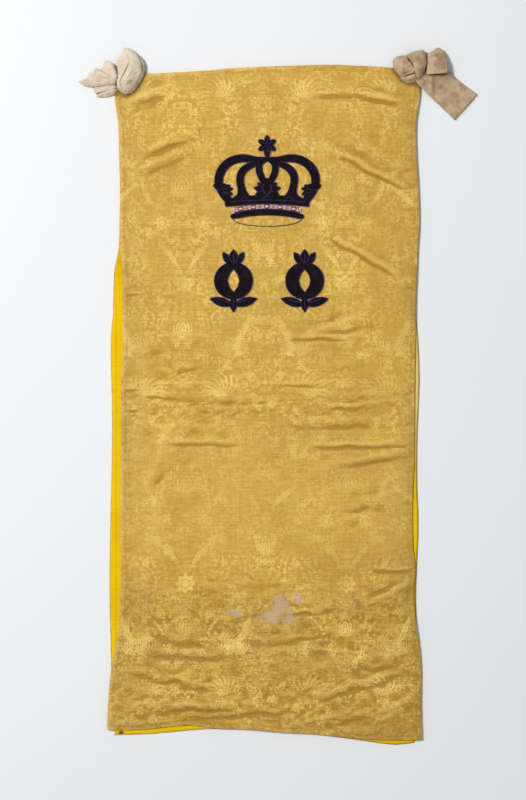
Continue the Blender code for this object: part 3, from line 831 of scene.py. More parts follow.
def clean_cloth(finish, place, y, woven, patch, low):
    """The colour of ground and figure, and the relief of the uneven threads."""
    fleck = finish.streaks(place, 15, 7, 4, 0.65)
    faint = finish.soft_step(abs(y + 120), 50, 120, 0.55, 0.85)
    strength = finish.soft_step(patch, 0.3, 0.65, 0.4, 1.0) * faint.or_more(low)
    threads = finish.streaks(place, 30, 1.6, 3) * 1.3 + finish.streaks(place, 1.3, 40, 3) - 1.15
    flecks = finish.soft_step(fleck, 0.48, 0.6) * (low * 0.8 + 0.25)
    ground = finish.blend(flecks, GROUND, DEEP_GROUND)
    share = woven * strength + threads * 0.65 + fleck * 0.35 + 0.16 - faint * 0.3
    return finish.blend(share, ground, FIGURE), threads


def soiled(finish, colour, place, x, woven, low):
    """Brown clouds, dark gaps between the figures of the low cloth, and darker sides."""
    brown = finish.soft_step(finish.streaks(place, 44, 26, 4, 0.6), 0.5, 0.66)
    colour = finish.blend(brown * (low * 0.12 + 0.1), colour, SOILED)
    gaps = finish.soft_step(finish.streaks(place, 32, 15, 5, 0.6), 0.5, 0.6)
    colour = finish.blend(gaps * (1 - woven * 0.9) * low * 0.85, colour, DEEP_GROUND)
    cloud = finish.noise(place, 1 / 85, 4, 0.6)
    # darker towards both sides
    sides = finish.soft_step(abs(x), 110, 205, 0, 0.16)
    return finish.blend(finish.soft_step(cloud, 0.42, 0.75, 0, 0.35) + sides, colour, SOILED)


def wear_and_painted_shade(finish, colour, place, x):
    """Painted shade in hollows and painted highlight on ridges, rubbed edges, a painted shade line along
    the seams, bare patches, and painted shadow beside the knots.
    """
    hollow = finish.stored("hollow")
    # painted shade: darker in the hollows of the creases
    colour = finish.blend(finish.soft_step(hollow, 0.06, 0.75, 0, 0.85), colour, DEEP_GROUND)
    # painted highlight: paler on the ridges
    colour = finish.blend(finish.soft_step(hollow, -0.1, -1.2, 0, 0.32), colour, FIGURE)
    rub = finish.noise(place, 1 / 11, 4, 0.65)
    edge = finish.stored("edge")
    rubbed = finish.soft_step(edge + rub * 38, 12, 27, 0.6, 0)
    colour = finish.blend(rubbed, colour, finish.blend(finish.soft_step(x, -90, 90), WORN, SOILED))
    # painted shade: a dark line along the groove of the seam, some 6.6 mm in from the edge
    seam_groove_shade = finish.soft_step(abs(edge - 6.6 + rub), 0.4, 2.0, 0.4, 0)
    colour = finish.blend(seam_groove_shade * finish.soft_step(rub, 0.35, 0.6), colour, DEEP_GROUND)
    bare = finish.spot(place, *BARE_PLACES[0], rub)
    for middle, reach in BARE_PLACES[1:]:
        bare = bare.or_more(finish.spot(place, middle, reach, rub))
    colour = finish.blend(bare * 0.75, colour, BARE_PATCH)
    # painted shadow: darker where a knot lies beside the front panel
    knot_shadow = finish.soft_step(finish.stored("shadow_beside_tie") + rub * 0.3, 0.15, 1.15, 0, 0.9)
    return finish.blend(knot_shadow, colour, PAINTED_KNOT_SHADOW)


print("dirt and wear ready")

# %% Damask
# the gap between threads, up and across (mm)
THREAD_UP, THREAD_ACROSS = 0.62, 0.5


def damask_finish(name):
    """Clean cloth under its dirt, wear and painted shade, with a relief of weave, figure, threads and
    puckers.
    """
    finish = Finish(name)
    place = finish.in_mm()
    warp = finish.noise(place, 1 / 120, 1)
    x, y, _ = finish.split(place)
    small, big = figure_mask(finish, x + (warp - 0.5) * 9, y + (warp - 0.5) * 7)
    woven = (small * (1 - big * 0.8) + big).or_less(1)
    patch = finish.noise(place, 1 / 60, 3)
    low = finish.soft_step(y + patch * 60, -170, -265)
    colour, threads = clean_cloth(finish, place, y, woven, patch, low)
    colour = soiled(finish, colour, place, x, woven, low)
    colour = wear_and_painted_shade(finish, colour, place, x)
    weave = y.wave(THREAD_UP) + x.wave(THREAD_ACROSS)
    pucker = finish.streaks(place, 8, 4.5, 3)
    height = weave * 0.13 + woven * (low * 1.4 + 0.6) + threads + pucker * (low * 3.5 + 5)
    shine = {"Base Color": colour, "Roughness": finish.soft_step(woven, 0, 1, 0.62, 0.5)}
    constants = {"Sheen Weight": 0.03, "Sheen Roughness": 0.4, "Specular IOR Level": 0.25}
    return finish.surface(height, 0.17 * MM, constants, shine)


gold = damask_finish("gold_damask")
front = add_object("mantle_front", front_mesh, gold)
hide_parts("front_panel")
print("damask has", len(gold.node_tree.nodes), "nodes")

# %% [markdown]
# ## The back panel and the linings
# The back shows as a thin folded edge in the slits and at the hem. It lies flat on the table.
# The linings are glazed yellow cotton. They are narrower by a stitch, and show as bright lines.
# All three are read off the frame as the front was, on a coarser grid, because nothing folds them.

# %% Lining finish
# the gap between threads (mm)
LINING_THREAD = 0.45


def lining_finish(name):
    """Glazed cotton: a painted shade line along a fold, an orange painted shadow at the top of the left
    slit, faded in the right one, dark at one corner.
    """
    finish = Finish(name)
    place = finish.in_mm()
    x, y, _ = finish.split(place)
    cloud = finish.noise(place, 1 / 50, 3)
    slubs = finish.streaks(place, 30, 0.6)
    colour = finish.blend(finish.soft_step(cloud, 0.3, 0.7), (0.87, 0.55, 0.0), (0.93, 0.63, 0.0))
    colour = finish.blend(finish.soft_step(slubs, 0.4, 0.7, 0, 0.25), colour, (0.62, 0.36, 0.0))
    # painted shade: a dark line along the fold of the lining in the left slit
    fold_shade_line = finish.soft_step(abs(x + 202 + cloud * 2), 0.4, 1.1, 0.4, 0)
    colour = finish.blend(fold_shade_line * finish.soft_step(y, 110, 140, 1, 0), colour, (0.50, 0.28, 0.0))
    # painted shadow: orange at the top of the left slit, under the damask
    colour = finish.blend(finish.soft_step(y, 130, 200, 0, 0.8), colour, (0.75, 0.36, 0.0))
    faded = finish.soft_step(x, 192, 197) * finish.soft_step(y, -95, -60)
    colour = finish.blend(faded * 0.7, colour, (0.78, 0.64, 0.30))
    # darker at the bottom-left corner
    dark_corner = finish.spot(place, (-196, -449), (5, 7), cloud)
    colour = finish.blend(dark_corner, colour, (0.10, 0.085, 0.03))
    weave = x.wave(LINING_THREAD) + y.wave(LINING_THREAD)
    constants = {"Roughness": 0.55, "Specular IOR Level": 0.08}
    return finish.surface(weave * 0.3 + slubs, 0.1 * MM, constants, {"Base Color": colour})


yellow = lining_finish("yellow_lining")
print("lining has", len(yellow.node_tree.nodes), "nodes")

# %% Flat sheets
FLAT_STEP = 7 * MM
LINING_THICK = 1.0 * MM


def flat_cloth(name, node, thickness, material):
    """A flat sheet with the outline of a node, in that node's place."""
    grid = sheet_plan(node, FLAT_STEP, FLAT_STEP)
    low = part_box(node)[0].z
    made = add_object(name, cloth(name, grid, np.full_like(grid[0], low), thickness), material)
    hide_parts(node)
    return made


back = flat_cloth("mantle_back", "back_panel", FRAME_THICK, gold)
back_lining = flat_cloth("lining_back", "back_lining", LINING_THICK, yellow)
front_lining = flat_cloth("lining_front", "front_lining", LINING_THICK, yellow)
print("flat sheets", len(back.data.polygons), "faces each")

# %% [markdown]
# ## What size the sheets were cut
# Cloth doesn't stretch, so a sheet has as much area laid in folds as it had flat.

# %% [markdown]
# ## Velvet and its violet cord
# The crown and the pomegranates are cut velvet. Its pile drinks the light, and shows a violet bloom
# where it leans. The pieces of the frame have the right outline, so they stay and get the finish.
# Their sides are square, and a cut edge of velvet rolls over. So a dark roll runs round each piece,
# and a violet cord lies on it, sewn down stitch by stitch.

# %% Velvet and silk
VELVET_NODES = ("crown_velvet", "crown_rim", "pomegranate_left", "pomegranate_right")


def velvet_finish():
    """Deep pile that leans this way and that, with a violet sheen."""
    finish = Finish("dark_velvet")
    place = finish.in_mm()
    pile = finish.noise(place, 2.0, 2)
    lean = finish.noise(finish.stretched(place, 1, 0.6), 1 / 7, 2)
    colour = finish.blend(finish.soft_step(lean, 0.42, 0.75), (0.004, 0.002, 0.004), (0.012, 0.006, 0.014))
    constants = {"Roughness": 0.85, "Specular IOR Level": 0.15}
    sheen = {"Sheen Weight": 0.16, "Sheen Roughness": 0.4, "Sheen Tint": (0.4, 0.28, 0.5, 1)}
    return finish.surface(pile + lean * 2, 0.3 * MM, constants | sheen, {"Base Color": colour})


def thread_finish(name, dark, light):
    """Silk thread: two close tones in fine streaks."""
    finish = Finish(name)
    strand = finish.noise(finish.in_mm(), 1.1, 2)
    colour = finish.blend(finish.soft_step(strand, 0.35, 0.65), dark, light)
    return finish.surface(strand, 0.25 * MM, {"Roughness": 0.45}, {"Base Color": colour})


def dress(node, material):
    """Gives a piece of the frame its finish."""
    nodes[node].data.materials.clear()
    nodes[node].data.materials.append(material)


velvet = velvet_finish()
violet_silk = thread_finish("violet_silk", (0.014, 0.004, 0.038), (0.062, 0.017, 0.135))
dark_silk = thread_finish("dark_silk", (0.020, 0.010, 0.012), (0.055, 0.028, 0.03))
for name in VELVET_NODES:
    dress(name, velvet)
print("velvet on", len(VELVET_NODES), "pieces")

# %% [markdown]
# ## Recipes of geometry nodes
# A cord follows a path and its stitches repeat, so Geometry Nodes make them. A recipe is a tree of
# such nodes with named inputs for its sizes. It turns a mesh of edges or points into cord, stitches
# or threads, and one recipe serves many paths. Its result is taken as a plain mesh, so that the
# export keeps it.

# %% A recipe of geometry nodes
class Recipe(Tree):
    """A geometry node tree with named inputs, which turns one mesh into another."""

    def __init__(self, name, sizes):
        self.tree = bpy.data.node_groups.new(name, "GeometryNodeTree")
        face = self.tree.interface
        face.new_socket("Geometry", in_out="INPUT", socket_type="NodeSocketGeometry")
        face.new_socket("Geometry", in_out="OUTPUT", socket_type="NodeSocketGeometry")
        for size in sizes:
            face.new_socket(size, in_out="INPUT", socket_type="NodeSocketFloat")
        self.source = self.tree.nodes.new("NodeGroupInput")

    def given(self, name):
        """The output that holds a named input."""
        return Wire(self, self.source.outputs[name])

    def finished(self, geometry, material):
        """Ends the tree: real geometry in one finish."""
        real = self.add("GeometryNodeRealizeInstances", None, {"Geometry": geometry})
        smooth = self.add("GeometryNodeSetShadeSmooth", None, {"Geometry": real})
        painted = self.add("GeometryNodeSetMaterial", None, {"Geometry": smooth, "Material": material})
        end = self.tree.nodes.new("NodeGroupOutput")
        self.tree.links.new(painted.socket, end.inputs[0])

    def path(self):
        """The edges of the mesh, as curves."""
        return self.add("GeometryNodeMeshToCurve", None, {"Mesh": self.given("Geometry")})

    def even(self, path, step):
        """A curve with its points a step apart."""
        return self.add("GeometryNodeResampleCurve", {"mode": "LENGTH"}, {"Curve": path, "Length": step})

    def tube(self, path, radius, sides):
        """A round thread along a curve."""
        ring = {"Resolution": sides, "Radius": radius}
        ring = self.add("GeometryNodeCurvePrimitiveCircle", None, ring)
        drawn = {"Curve": path, "Profile Curve": ring, "Fill Caps": True}
        return self.add("GeometryNodeCurveToMesh", None, drawn)

    def bead(self, radius, scale, sides=6, rings=4):
        """A ball drawn out or flattened."""
        ball = {"Segments": sides, "Rings": rings, "Radius": radius}
        ball = self.add("GeometryNodeMeshUVSphere", None, ball)
        return self.add("GeometryNodeTransform", None, {"Geometry": ball, "Scale": scale})

    def at_points(self, points, shape, turn):
        """A shape on every point, turned."""
        laid = {"Points": points, "Instance": shape, "Rotation": turn}
        return self.add("GeometryNodeInstanceOnPoints", None, laid)

    def row(self, path, gap, shape):
        """A shape at every gap along a curve, turned with it."""
        spaced = {"Curve": path, "Length": gap}
        points = self.add("GeometryNodeCurveToPoints", {"mode": "LENGTH"}, spaced)
        return self.at_points(points, shape, Wire(self, points.socket.node.outputs["Rotation"]))


def grown(name, mesh, recipe, sizes):
    """The plain mesh that a recipe makes of a mesh."""
    carrier = bpy.data.objects.new(name, mesh)
    bpy.context.scene.collection.objects.link(carrier)
    modifier = carrier.modifiers.new("recipe", "NODES")
    modifier.node_group = recipe.tree
    for socket in recipe.tree.interface.items_tree:
        if socket.in_out == "INPUT" and socket.name in sizes:
            modifier[socket.identifier] = sizes[socket.name]
    graph = bpy.context.evaluated_depsgraph_get()
    made = bpy.data.meshes.new_from_object(carrier.evaluated_get(graph))
    bpy.data.objects.remove(carrier)
    return made


print("recipe helpers ready")

# %% Three recipes
def couched_cord(material):
    """A cord along every edge of a mesh, sewn down with small stitches across it."""
    recipe = Recipe("couched_cord", ("Radius", "Step", "Stitch gap"))
    radius = recipe.given("Radius")
    path = recipe.even(recipe.path(), recipe.given("Step"))
    place = recipe.add("GeometryNodeInputPosition")
    ease = {"Value": place, "Iterations": 2}
    eased = recipe.add("GeometryNodeBlurAttribute", {"data_type": "FLOAT_VECTOR"}, ease)
    path = recipe.add("GeometryNodeSetPosition", None, {"Geometry": path, "Position": eased})
    cord = recipe.tube(path, radius, 6)
    stitches = recipe.row(path, recipe.given("Stitch gap"), recipe.bead(radius, (1.25, 1.25, 0.45)))
    both = recipe.tree.nodes.new("GeometryNodeJoinGeometry")
    for part in (cord, stitches):
        recipe.tree.links.new(part.socket, both.inputs[0])
    recipe.finished(Wire(recipe, both.outputs[0]), material)
    return recipe


def stitch_row(material):
    """Separate stitches along every edge of a mesh."""
    recipe = Recipe("stitch_row", ("Radius", "Length", "Gap"))
    radius = recipe.given("Radius")
    bead = recipe.bead(1.0, recipe.join(radius, radius, recipe.given("Length") / 2))
    recipe.finished(recipe.row(recipe.path(), recipe.given("Gap"), bead), material)
    return recipe


def loose_threads(material):
    """A thin wandering thread along every edge of a mesh."""
    recipe = Recipe("loose_threads", ("Radius", "Step", "Wander"))
    path = recipe.even(recipe.path(), recipe.given("Step"))
    sway = {"Vector": recipe.add("GeometryNodeInputPosition"), "Scale": 300.0, "Detail": 1.0}
    sway = recipe.add("ShaderNodeTexNoise", None, sway, out=1)
    centred = {"Vector": sway, "Vector_001": (0.5, 0.5, 0.5)}
    sway = recipe.add("ShaderNodeVectorMath", {"operation": "SUBTRACT"}, centred)
    scaled = {"Vector": sway, "Scale": recipe.given("Wander")}
    sway = recipe.add("ShaderNodeVectorMath", {"operation": "SCALE"}, scaled)
    path = recipe.add("GeometryNodeSetPosition", None, {"Geometry": path, "Offset": sway})
    recipe.finished(recipe.tube(path, recipe.given("Radius"), 5), material)
    return recipe


print("recipes ready")

# %% Edges and lines for the cord
CORD_STEP = 0.9 * MM


def upper_edges(node, lift, outset):
    """The outline of a node's upper face, moved outwards, as a mesh of edges alone."""
    solid = bmesh.new()
    solid.from_mesh(nodes[node].data)
    bmesh.ops.remove_doubles(solid, verts=solid.verts, dist=0.002 * MM)
    top = max(v.co.z for v in solid.verts)
    upper = {f for f in solid.faces if f.normal.z > 0.9 and f.calc_center_median().z > top - 0.1 * MM}
    rim = [e for e in solid.edges if sum(f in upper for f in e.link_faces) == 1]
    ends = sorted({v.index for e in rim for v in e.verts})
    number = {index: k for k, index in enumerate(ends)}
    away = {index: Vector() for index in ends}
    for edge in rim:
        face = next(f for f in edge.link_faces if f in upper)
        first, second = edge.verts
        side = (second.co - first.co).cross(Vector((0, 0, 1))).normalized()
        inward = face.calc_center_median() - first.co
        for vert in edge.verts:
            away[vert.index] += side if side.dot(inward) < 0 else -side
    solid.verts.ensure_lookup_table()
    moves = {index: way.normalized() * outset + Vector((0, 0, lift)) for index, way in away.items()}
    points = [solid.verts[index].co + moves[index] for index in ends]
    edges = [tuple(number[v.index] for v in e.verts) for e in rim]
    solid.free()
    return points, edges


def line_edges(lines, x, y, z):
    """Lines given as runs of x and y in millimetres, as points and edges."""
    points, edges = [], []
    for line in lines:
        start = len(points)
        points += [Vector(((x + px) * MM, (y + py) * MM, z)) for px, py in line]
        edges += [(k, k + 1) for k in range(start, len(points) - 1)]
    return points, edges


def both_sides(lines):
    """Lines and their mirror images about the middle."""
    return [*lines, *[[(-px, py) for px, py in line] for line in lines]]


def cord_mesh(name, parts, recipe, radius, gap):
    """One cord over several sets of edges."""
    points, edges = [], []
    for part_points, part_edges in parts:
        edges += [(a + len(points), b + len(points)) for a, b in part_edges]
        points += part_points
    mesh = bpy.data.meshes.new(name)
    mesh.from_pydata([tuple(point) for point in points], edges, [])
    return grown(name, mesh, recipe, {"Radius": radius, "Step": CORD_STEP, "Stitch gap": gap})


def spoke(x, y, direction, start, end):
    """A straight line out from a point."""
    turn = math.radians(direction)
    reaches = (start, (start + end) / 2, end)
    return [(x + reach * math.cos(turn), y + reach * math.sin(turn)) for reach in reaches]


print("edge helpers ready")

# %% Violet cord and dark roll
CORD_RADIUS = 0.5 * MM
ROLL_RADIUS = 0.7 * MM
STITCH_GAP = 3.0 * MM
ROLL_GAP = 40 * MM
# how far above and outside the velvet's edge the cord and the roll run
CORD_PLACE = (-0.25 * MM, 0.55 * MM)
ROLL_PLACE = (-0.65 * MM, 0.35 * MM)

edge_cord = couched_cord(violet_silk)
edges = [upper_edges(name, *CORD_PLACE) for name in VELVET_NODES]
edge_mesh = cord_mesh("violet_edge", edges, edge_cord, CORD_RADIUS, STITCH_GAP)
add_object("violet_edge", edge_mesh, violet_silk)
rolls = [upper_edges(name, *ROLL_PLACE) for name in VELVET_NODES]
roll_mesh = cord_mesh("velvet_roll", rolls, couched_cord(velvet), ROLL_RADIUS, ROLL_GAP)
add_object("velvet_roll", roll_mesh, velvet)
print("edge cord", len(edge_mesh.polygons), "faces, rolled edge", len(roll_mesh.polygons))

# %% Stitched lines on the velvet
LINE_RADIUS = 0.36 * MM
LINE_GAP = 2.4 * MM
LINE_LIFT = 0.15 * MM
VELVET_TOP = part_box("crown_velvet")[1].z
# the crown's middle, and from here on each line as runs of x and y about a middle (mm)
CROWN_X, CROWN_Y = 0.2, 262
BAND_LINE = [(-50, 3.2), (-38, 4.6), (-25, 5.6), (0, 6.4), (25, 5.6), (38, 4.6), (50, 3.2)]
BAND_POINTS = [
    [(x - 6, base), (x, base + 6.5), (x + 6, base)] for x, base in ((-30, 5.6), (0, 6.6), (30, 5.6))
]
SPRIG_LINES = [[(1, 13), (6, 21), (4, 29)], [(0, 14), (-7, 18), (-12, 17)]]
SPRIG_LINES += [spoke(61, 18.5, 20, 1, 11), spoke(61, 18.5, 150, 1, 12), spoke(61, 18, 198, 1, 12)]
STAR_LINES = [spoke(0, 80, 30 + 60 * k, 1, 10) for k in range(6)]
FRUIT_LINES = [spoke(0, 20, turn, 3, 18) for turn in (62, 90, 118)]
FRUIT_LINES += [spoke(0, -31, turn, 4, 26) for turn in (16, 164)] + [spoke(0, -24, 270, 0, 14)]
FRUIT_PLACES = ((-45, 160), (50.5, 160))
CROWN_LINES = [BAND_LINE, *BAND_POINTS, *both_sides(SPRIG_LINES), *STAR_LINES]

line_level = VELVET_TOP + LINE_LIFT
lines = [line_edges(CROWN_LINES, CROWN_X, CROWN_Y, line_level)]
lines += [line_edges(FRUIT_LINES, x, y, line_level) for x, y in FRUIT_PLACES]
line_mesh = cord_mesh("violet_lines", lines, edge_cord, LINE_RADIUS, LINE_GAP)
add_object("violet_lines", line_mesh, violet_silk)
print("stitched lines", len(line_mesh.polygons), "faces")

# %% The oval under the rim
OVAL_RADIUS = 0.55 * MM
OVAL_LIFT = 0.5 * MM
OVAL_STEPS = 32
# half width, height of the ends from the crown's middle, and depth (mm); how full the curve is
OVAL_HALF, OVAL_ENDS, OVAL_DEEP = 46.6, -16.8, 12.0
FULLNESS = 0.8

turns = [k * math.pi / OVAL_STEPS for k in range(OVAL_STEPS + 1)]
oval = [
    (-OVAL_HALF * math.cos(turn), OVAL_ENDS - OVAL_DEEP * abs(math.sin(turn)) ** FULLNESS) for turn in turns
]
oval = [line_edges([oval], CROWN_X, CROWN_Y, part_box("crown_oval_cord")[0].z + OVAL_LIFT)]
oval_mesh = cord_mesh("oval_cord", oval, couched_cord(dark_silk), OVAL_RADIUS, STITCH_GAP)
oval_cord = add_object("oval_cord", oval_mesh, dark_silk)
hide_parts("crown_oval_cord")
print("oval cord", len(oval_mesh.polygons), "faces")

# %% [markdown]
# ## Stitches along the seams
# The sides and the hem of the front are turned in and sewn down by hand. A row of small stitches runs
# a few millimetres inside the edge and follows the cloth over its creases. Its path is taken from
# the front's own grid, so the stitches lie on the cloth without being placed one by one.

# %% Seam stitches
# the column and row of the grid that the stitches follow, and where they stop before the corners
STITCH_COLUMN, STITCH_ROW = 5, 9
SIDE_STOP, HEM_STOP = 8, 7
STITCH_LIFT = 0.02 * MM
SEAM_STITCH = {"Radius": 0.24 * MM, "Length": 2.3 * MM, "Gap": 4.3 * MM}

grid = np.stack([plan[0], plan[1], height + DAMASK_THICK + STITCH_LIFT], -1)
sides = grid[SIDE_STOP:-SIDE_STOP]
hem = grid[STITCH_ROW, HEM_STOP:-HEM_STOP]
points = np.concatenate([sides[:, STITCH_COLUMN], sides[:, -1 - STITCH_COLUMN], hem])
breaks = (len(sides) - 1, 2 * len(sides) - 1)
edges = [(k, k + 1) for k in range(len(points) - 1) if k not in breaks]
seam_mesh = bpy.data.meshes.new("seam_path")
seam_mesh.from_pydata(points.tolist(), edges, [])
gold_thread = thread_finish("gold_thread", (0.36, 0.20, 0.03), (0.58, 0.36, 0.08))
seam_mesh = grown("seam_stitches", seam_mesh, stitch_row(gold_thread), SEAM_STITCH)
add_object("seam_stitches", seam_mesh, gold_thread)
print("seam stitches", len(seam_mesh.polygons), "faces")

# %% [markdown]
# ## The jewel braid
# Under the upper band a pale braid carries stitched jewels: ovals of rose silk ringed in dark red,
# with a small diamond between each two. One shape repeats along a curve, so each kind is a recipe
# that puts its shape on points that stand along the braid and turn with it.

# %% Jewel recipe
# the middle line of the braid, and where its jewels and diamonds stand, from the crown's middle (mm)
BRAID_X = (-46, -23, 0, 23, 46)
BRAID_Y = (-7.4, -3.4, -2.2, -3.4, -7.4)
JEWEL_X = (-35.5, -18.5, -0.5, 17.5, 35.5)
DIAMOND_X = (-27, -9.5, 8.5, 26.5)
# radians that the braid turns in each millimetre
BRAID_TURN = -0.00341


def jewel_recipe(name, material, ring, sides):
    """A ring of thread or a padded middle on every point of a mesh."""
    recipe = Recipe(name, ("Length", "Width", "Thread"))
    length, width, thread = (recipe.given(size) for size in ("Length", "Width", "Thread"))
    if ring:
        shape = recipe.add("GeometryNodeCurvePrimitiveCircle", None, {"Resolution": sides, "Radius": 0.5})
        grow = {"Geometry": shape, "Scale": recipe.join(length, width, 1.0)}
        shape = recipe.tube(recipe.add("GeometryNodeTransform", None, grow), thread, 6)
    else:
        shape = recipe.bead(0.5, recipe.join(length, width, thread * 4), sides, 8)
    turn = recipe.add("GeometryNodeInputNamedAttribute", {"data_type": "FLOAT"}, {"Name": "turn"})
    turned = recipe.at_points(recipe.given("Geometry"), shape, recipe.join(0.0, 0.0, turn))
    recipe.finished(turned, material)
    return recipe


def on_braid(x):
    """The height of the braid's middle line at a place across."""
    return float(np.interp(x, BRAID_X, BRAID_Y))


def braid_points(name, places):
    """Points along the middle of the braid, each with the braid's own turn."""
    mesh = bpy.data.meshes.new(name)
    spots = [((CROWN_X + x) * MM, (CROWN_Y + on_braid(x)) * MM, VELVET_TOP) for x in places]
    mesh.from_pydata(spots, [], [])
    store(mesh, "turn", [BRAID_TURN * x for x in places])
    return mesh


print("jewel helpers ready")

# %% Braid and jewels
def braid_finish():
    """Pale rose threads that run up and down."""
    finish = Finish("jewel_braid")
    thread = finish.streaks(finish.in_mm(), 0.9, 3)
    colour = finish.blend(finish.soft_step(thread, 0.35, 0.65), (0.42, 0.20, 0.18), (0.72, 0.50, 0.43))
    return finish.surface(thread, 0.25 * MM, {"Roughness": 0.6}, {"Base Color": colour})


dress("crown_jewel_braid", braid_finish())
red_silk = thread_finish("red_silk", (0.035, 0.003, 0.012), (0.10, 0.010, 0.028))
rose_silk = thread_finish("rose_silk", (0.50, 0.27, 0.27), (0.78, 0.62, 0.60))
# name, places, ring or not, sides, silk, then length, width and thread (mm)
for name, places, ring, sides, silk, *sizes in (
    ("jewel_rings", JEWEL_X, True, 20, red_silk, 7.2, 4.8, 0.64),
    ("jewel_hearts", JEWEL_X, False, 16, rose_silk, 5.6, 3.1, 0.45),
    ("diamonds", DIAMOND_X, True, 4, red_silk, 4.2, 3.0, 0.6),
):
    sizes = dict(zip(("Length", "Width", "Thread"), (size * MM for size in sizes)))
    mesh = grown(name, braid_points(name, places), jewel_recipe(name, silk, ring, sides), sizes)
    add_object(name, mesh, silk)
print("braid", len(JEWEL_X), "jewels and", len(DIAMOND_X), "diamonds")

# %% Red lines along the braid
# half the braid's width, and how far out its lines run (mm)
BRAID_HALF = 2.9
BRAID_END = 44
RED_RADIUS = 0.42 * MM

stops = range(-BRAID_END, BRAID_END + 1, 4)
red_lines = [[(x, on_braid(x) + side) for x in stops] for side in (-BRAID_HALF, BRAID_HALF)]
red_lines += [[(-BRAID_END, -10), (-41, -3.6)], [(BRAID_END, -10), (41, -3.6)]]
red_parts = [line_edges(red_lines, CROWN_X, CROWN_Y, VELVET_TOP)]
red_mesh = cord_mesh("braid_lines", red_parts, couched_cord(red_silk), RED_RADIUS, LINE_GAP)
add_object("braid_lines", red_mesh, red_silk)
print("red lines", len(red_mesh.polygons), "faces")

# %% [markdown]
# ## The knotted ties
# Each tie is a strip of plain linen, knotted on the corner. What shows is a heap of folds: a fan, a
# wing and a roll on the left, and a rolled knot, a wing and a flat end on the right.
# A simulated knot wouldn't fall as this one did, so the folds are laid one by one, each as one lap of
# cloth. A row runs from one edge of the lap to the other with a bulge between, and the rows are read
# off an enlarged view, across and down in its own units.

# %% Laps
LAP_THICK = 1.1 * MM
# the share of the thickness that is left at a lap's rim
THIN_RIM = 0.3
# the left and top of each enlarged view, and its unit (mm)
LEFT_VIEW = (-267.3, 488.9, 0.0788)
RIGHT_VIEW = (154.4, 488.9, 0.0925)


def on_view(view, across, down):
    """A place on an enlarged view, in metres."""
    left, top, unit = view
    return (left + across * unit) * MM, (top - down * unit) * MM


def filled(rows, steps, smooth=True):
    """A table with more rows between its rows, on a smooth curve or straight."""
    rows = np.array(rows, float)
    at = np.linspace(0, len(rows) - 1, (len(rows) - 1) * steps + 1)
    low = np.minimum(at.astype(int), len(rows) - 2)
    t = (at - low)[:, None]
    start, end = rows[low], rows[low + 1]
    if not smooth:
        return start + (end - start) * t
    out = (end - rows[np.maximum(low - 1, 0)]) / 2
    back = (rows[np.minimum(low + 2, len(rows) - 1)] - start) / 2
    blend_out, blend_back = t**3 - 2 * t**2 + t, t**3 - t**2
    return start + (end - start) * (3 * t**2 - 2 * t**3) + out * blend_out + back * blend_back


def lap(view, rows, smooth=True, across=20, steps=6, crumple=0.22, seed=3, creases=()):
    """One fold of cloth as a closed shell: its points, its faces and its place along the strip."""
    grid = filled(rows, steps, smooth)
    t = np.linspace(0, 1, across + 1)[None, :]
    ends = [grid[:, k, None] for k in range(7)]
    x, y = on_view(view, ends[0] + (ends[3] - ends[0]) * t, ends[1] + (ends[4] - ends[1]) * t)
    z = (ends[2] + (ends[5] - ends[2]) * t + ends[6] * np.sin(np.pi * t) ** 0.8) * MM
    marks = [(*on_view(view, *row[:2]), *on_view(view, *row[2:4]), *row[4:]) for row in creases]
    marks = [tuple(value / MM for value in row[:4]) + tuple(row[4:]) for row in marks]
    z = z + crease_height(x, y, marks) + ripples(x, y, seed, 26, 3.5, 12) * crumple * MM
    middle = np.stack([x, y, np.maximum(z, LAP_THICK / 2)], -1)
    normal = np.cross(np.gradient(middle, axis=1), np.gradient(middle, axis=0))
    normal /= np.linalg.norm(normal, axis=-1, keepdims=True) + 1e-12
    normal *= np.where(normal[..., 2:].mean() < 0, -1, 1)
    full = np.ones(middle.shape[:2])
    full[[0, -1], :] = THIN_RIM
    full[:, [0, -1]] = THIN_RIM
    half = normal * full[..., None] * LAP_THICK / 2
    points, faces = shell(middle + half, middle - half)
    along = np.linalg.norm(np.diff(middle, axis=0), axis=-1).mean(1).cumsum()
    wide = np.linalg.norm(middle[:, -1] - middle[:, 0], axis=-1)[:, None] * t
    place = np.stack([wide, np.broadcast_to(np.append(0, along)[:, None], wide.shape)], -1)
    return points, faces, np.concatenate([place.reshape(-1, 2)] * 2)


print("lap helpers ready")

# %% A heap of laps
# cells of 1 mm round the heap, and passes of smoothing that fill its gaps and even it out
HEAP_MARGIN = 12
FILL_SMOOTHING = 2
HEAP_SMOOTHING = 22


def sunken(points):
    """How far each point of a heap lies below the folds around it, in millimetres."""
    cells = np.round(points[:, :2] / MM).astype(int)
    cells -= cells.min(0) - HEAP_MARGIN
    top = np.zeros(cells.max(0) + HEAP_MARGIN + 1)
    np.maximum.at(top, tuple(cells.T), points[:, 2])
    filled_in = np.maximum(top, smoothed(top, FILL_SMOOTHING))
    return (smoothed(filled_in, HEAP_SMOOTHING)[tuple(cells.T)] - points[:, 2]) / MM


def heap(name, laps):
    """All laps of one tie in one mesh, with their places along the strip as its UV map."""
    points, faces, places, start = [], [], [], 0
    for lap_points, lap_faces, place in laps:
        points.append(lap_points)
        faces.append(lap_faces + start)
        places.append(place)
        start += len(lap_points)
    mesh = bpy.data.meshes.new(name)
    points = np.concatenate(points)
    mesh.from_pydata(points.tolist(), [], np.concatenate(faces).tolist())
    store(mesh, "hollow", sunken(points))
    corners = np.zeros(len(mesh.loops), np.int32)
    mesh.loops.foreach_get("vertex_index", corners)
    uv = mesh.uv_layers.new(name="strip")
    uv.data.foreach_set("uv", (np.concatenate(places)[corners] / MM).astype(np.float32).ravel())
    face_up = bmesh.new()
    face_up.from_mesh(mesh)
    bmesh.ops.recalc_face_normals(face_up, faces=face_up.faces)
    face_up.to_mesh(mesh)
    face_up.free()
    return mesh


print("heap helpers ready")

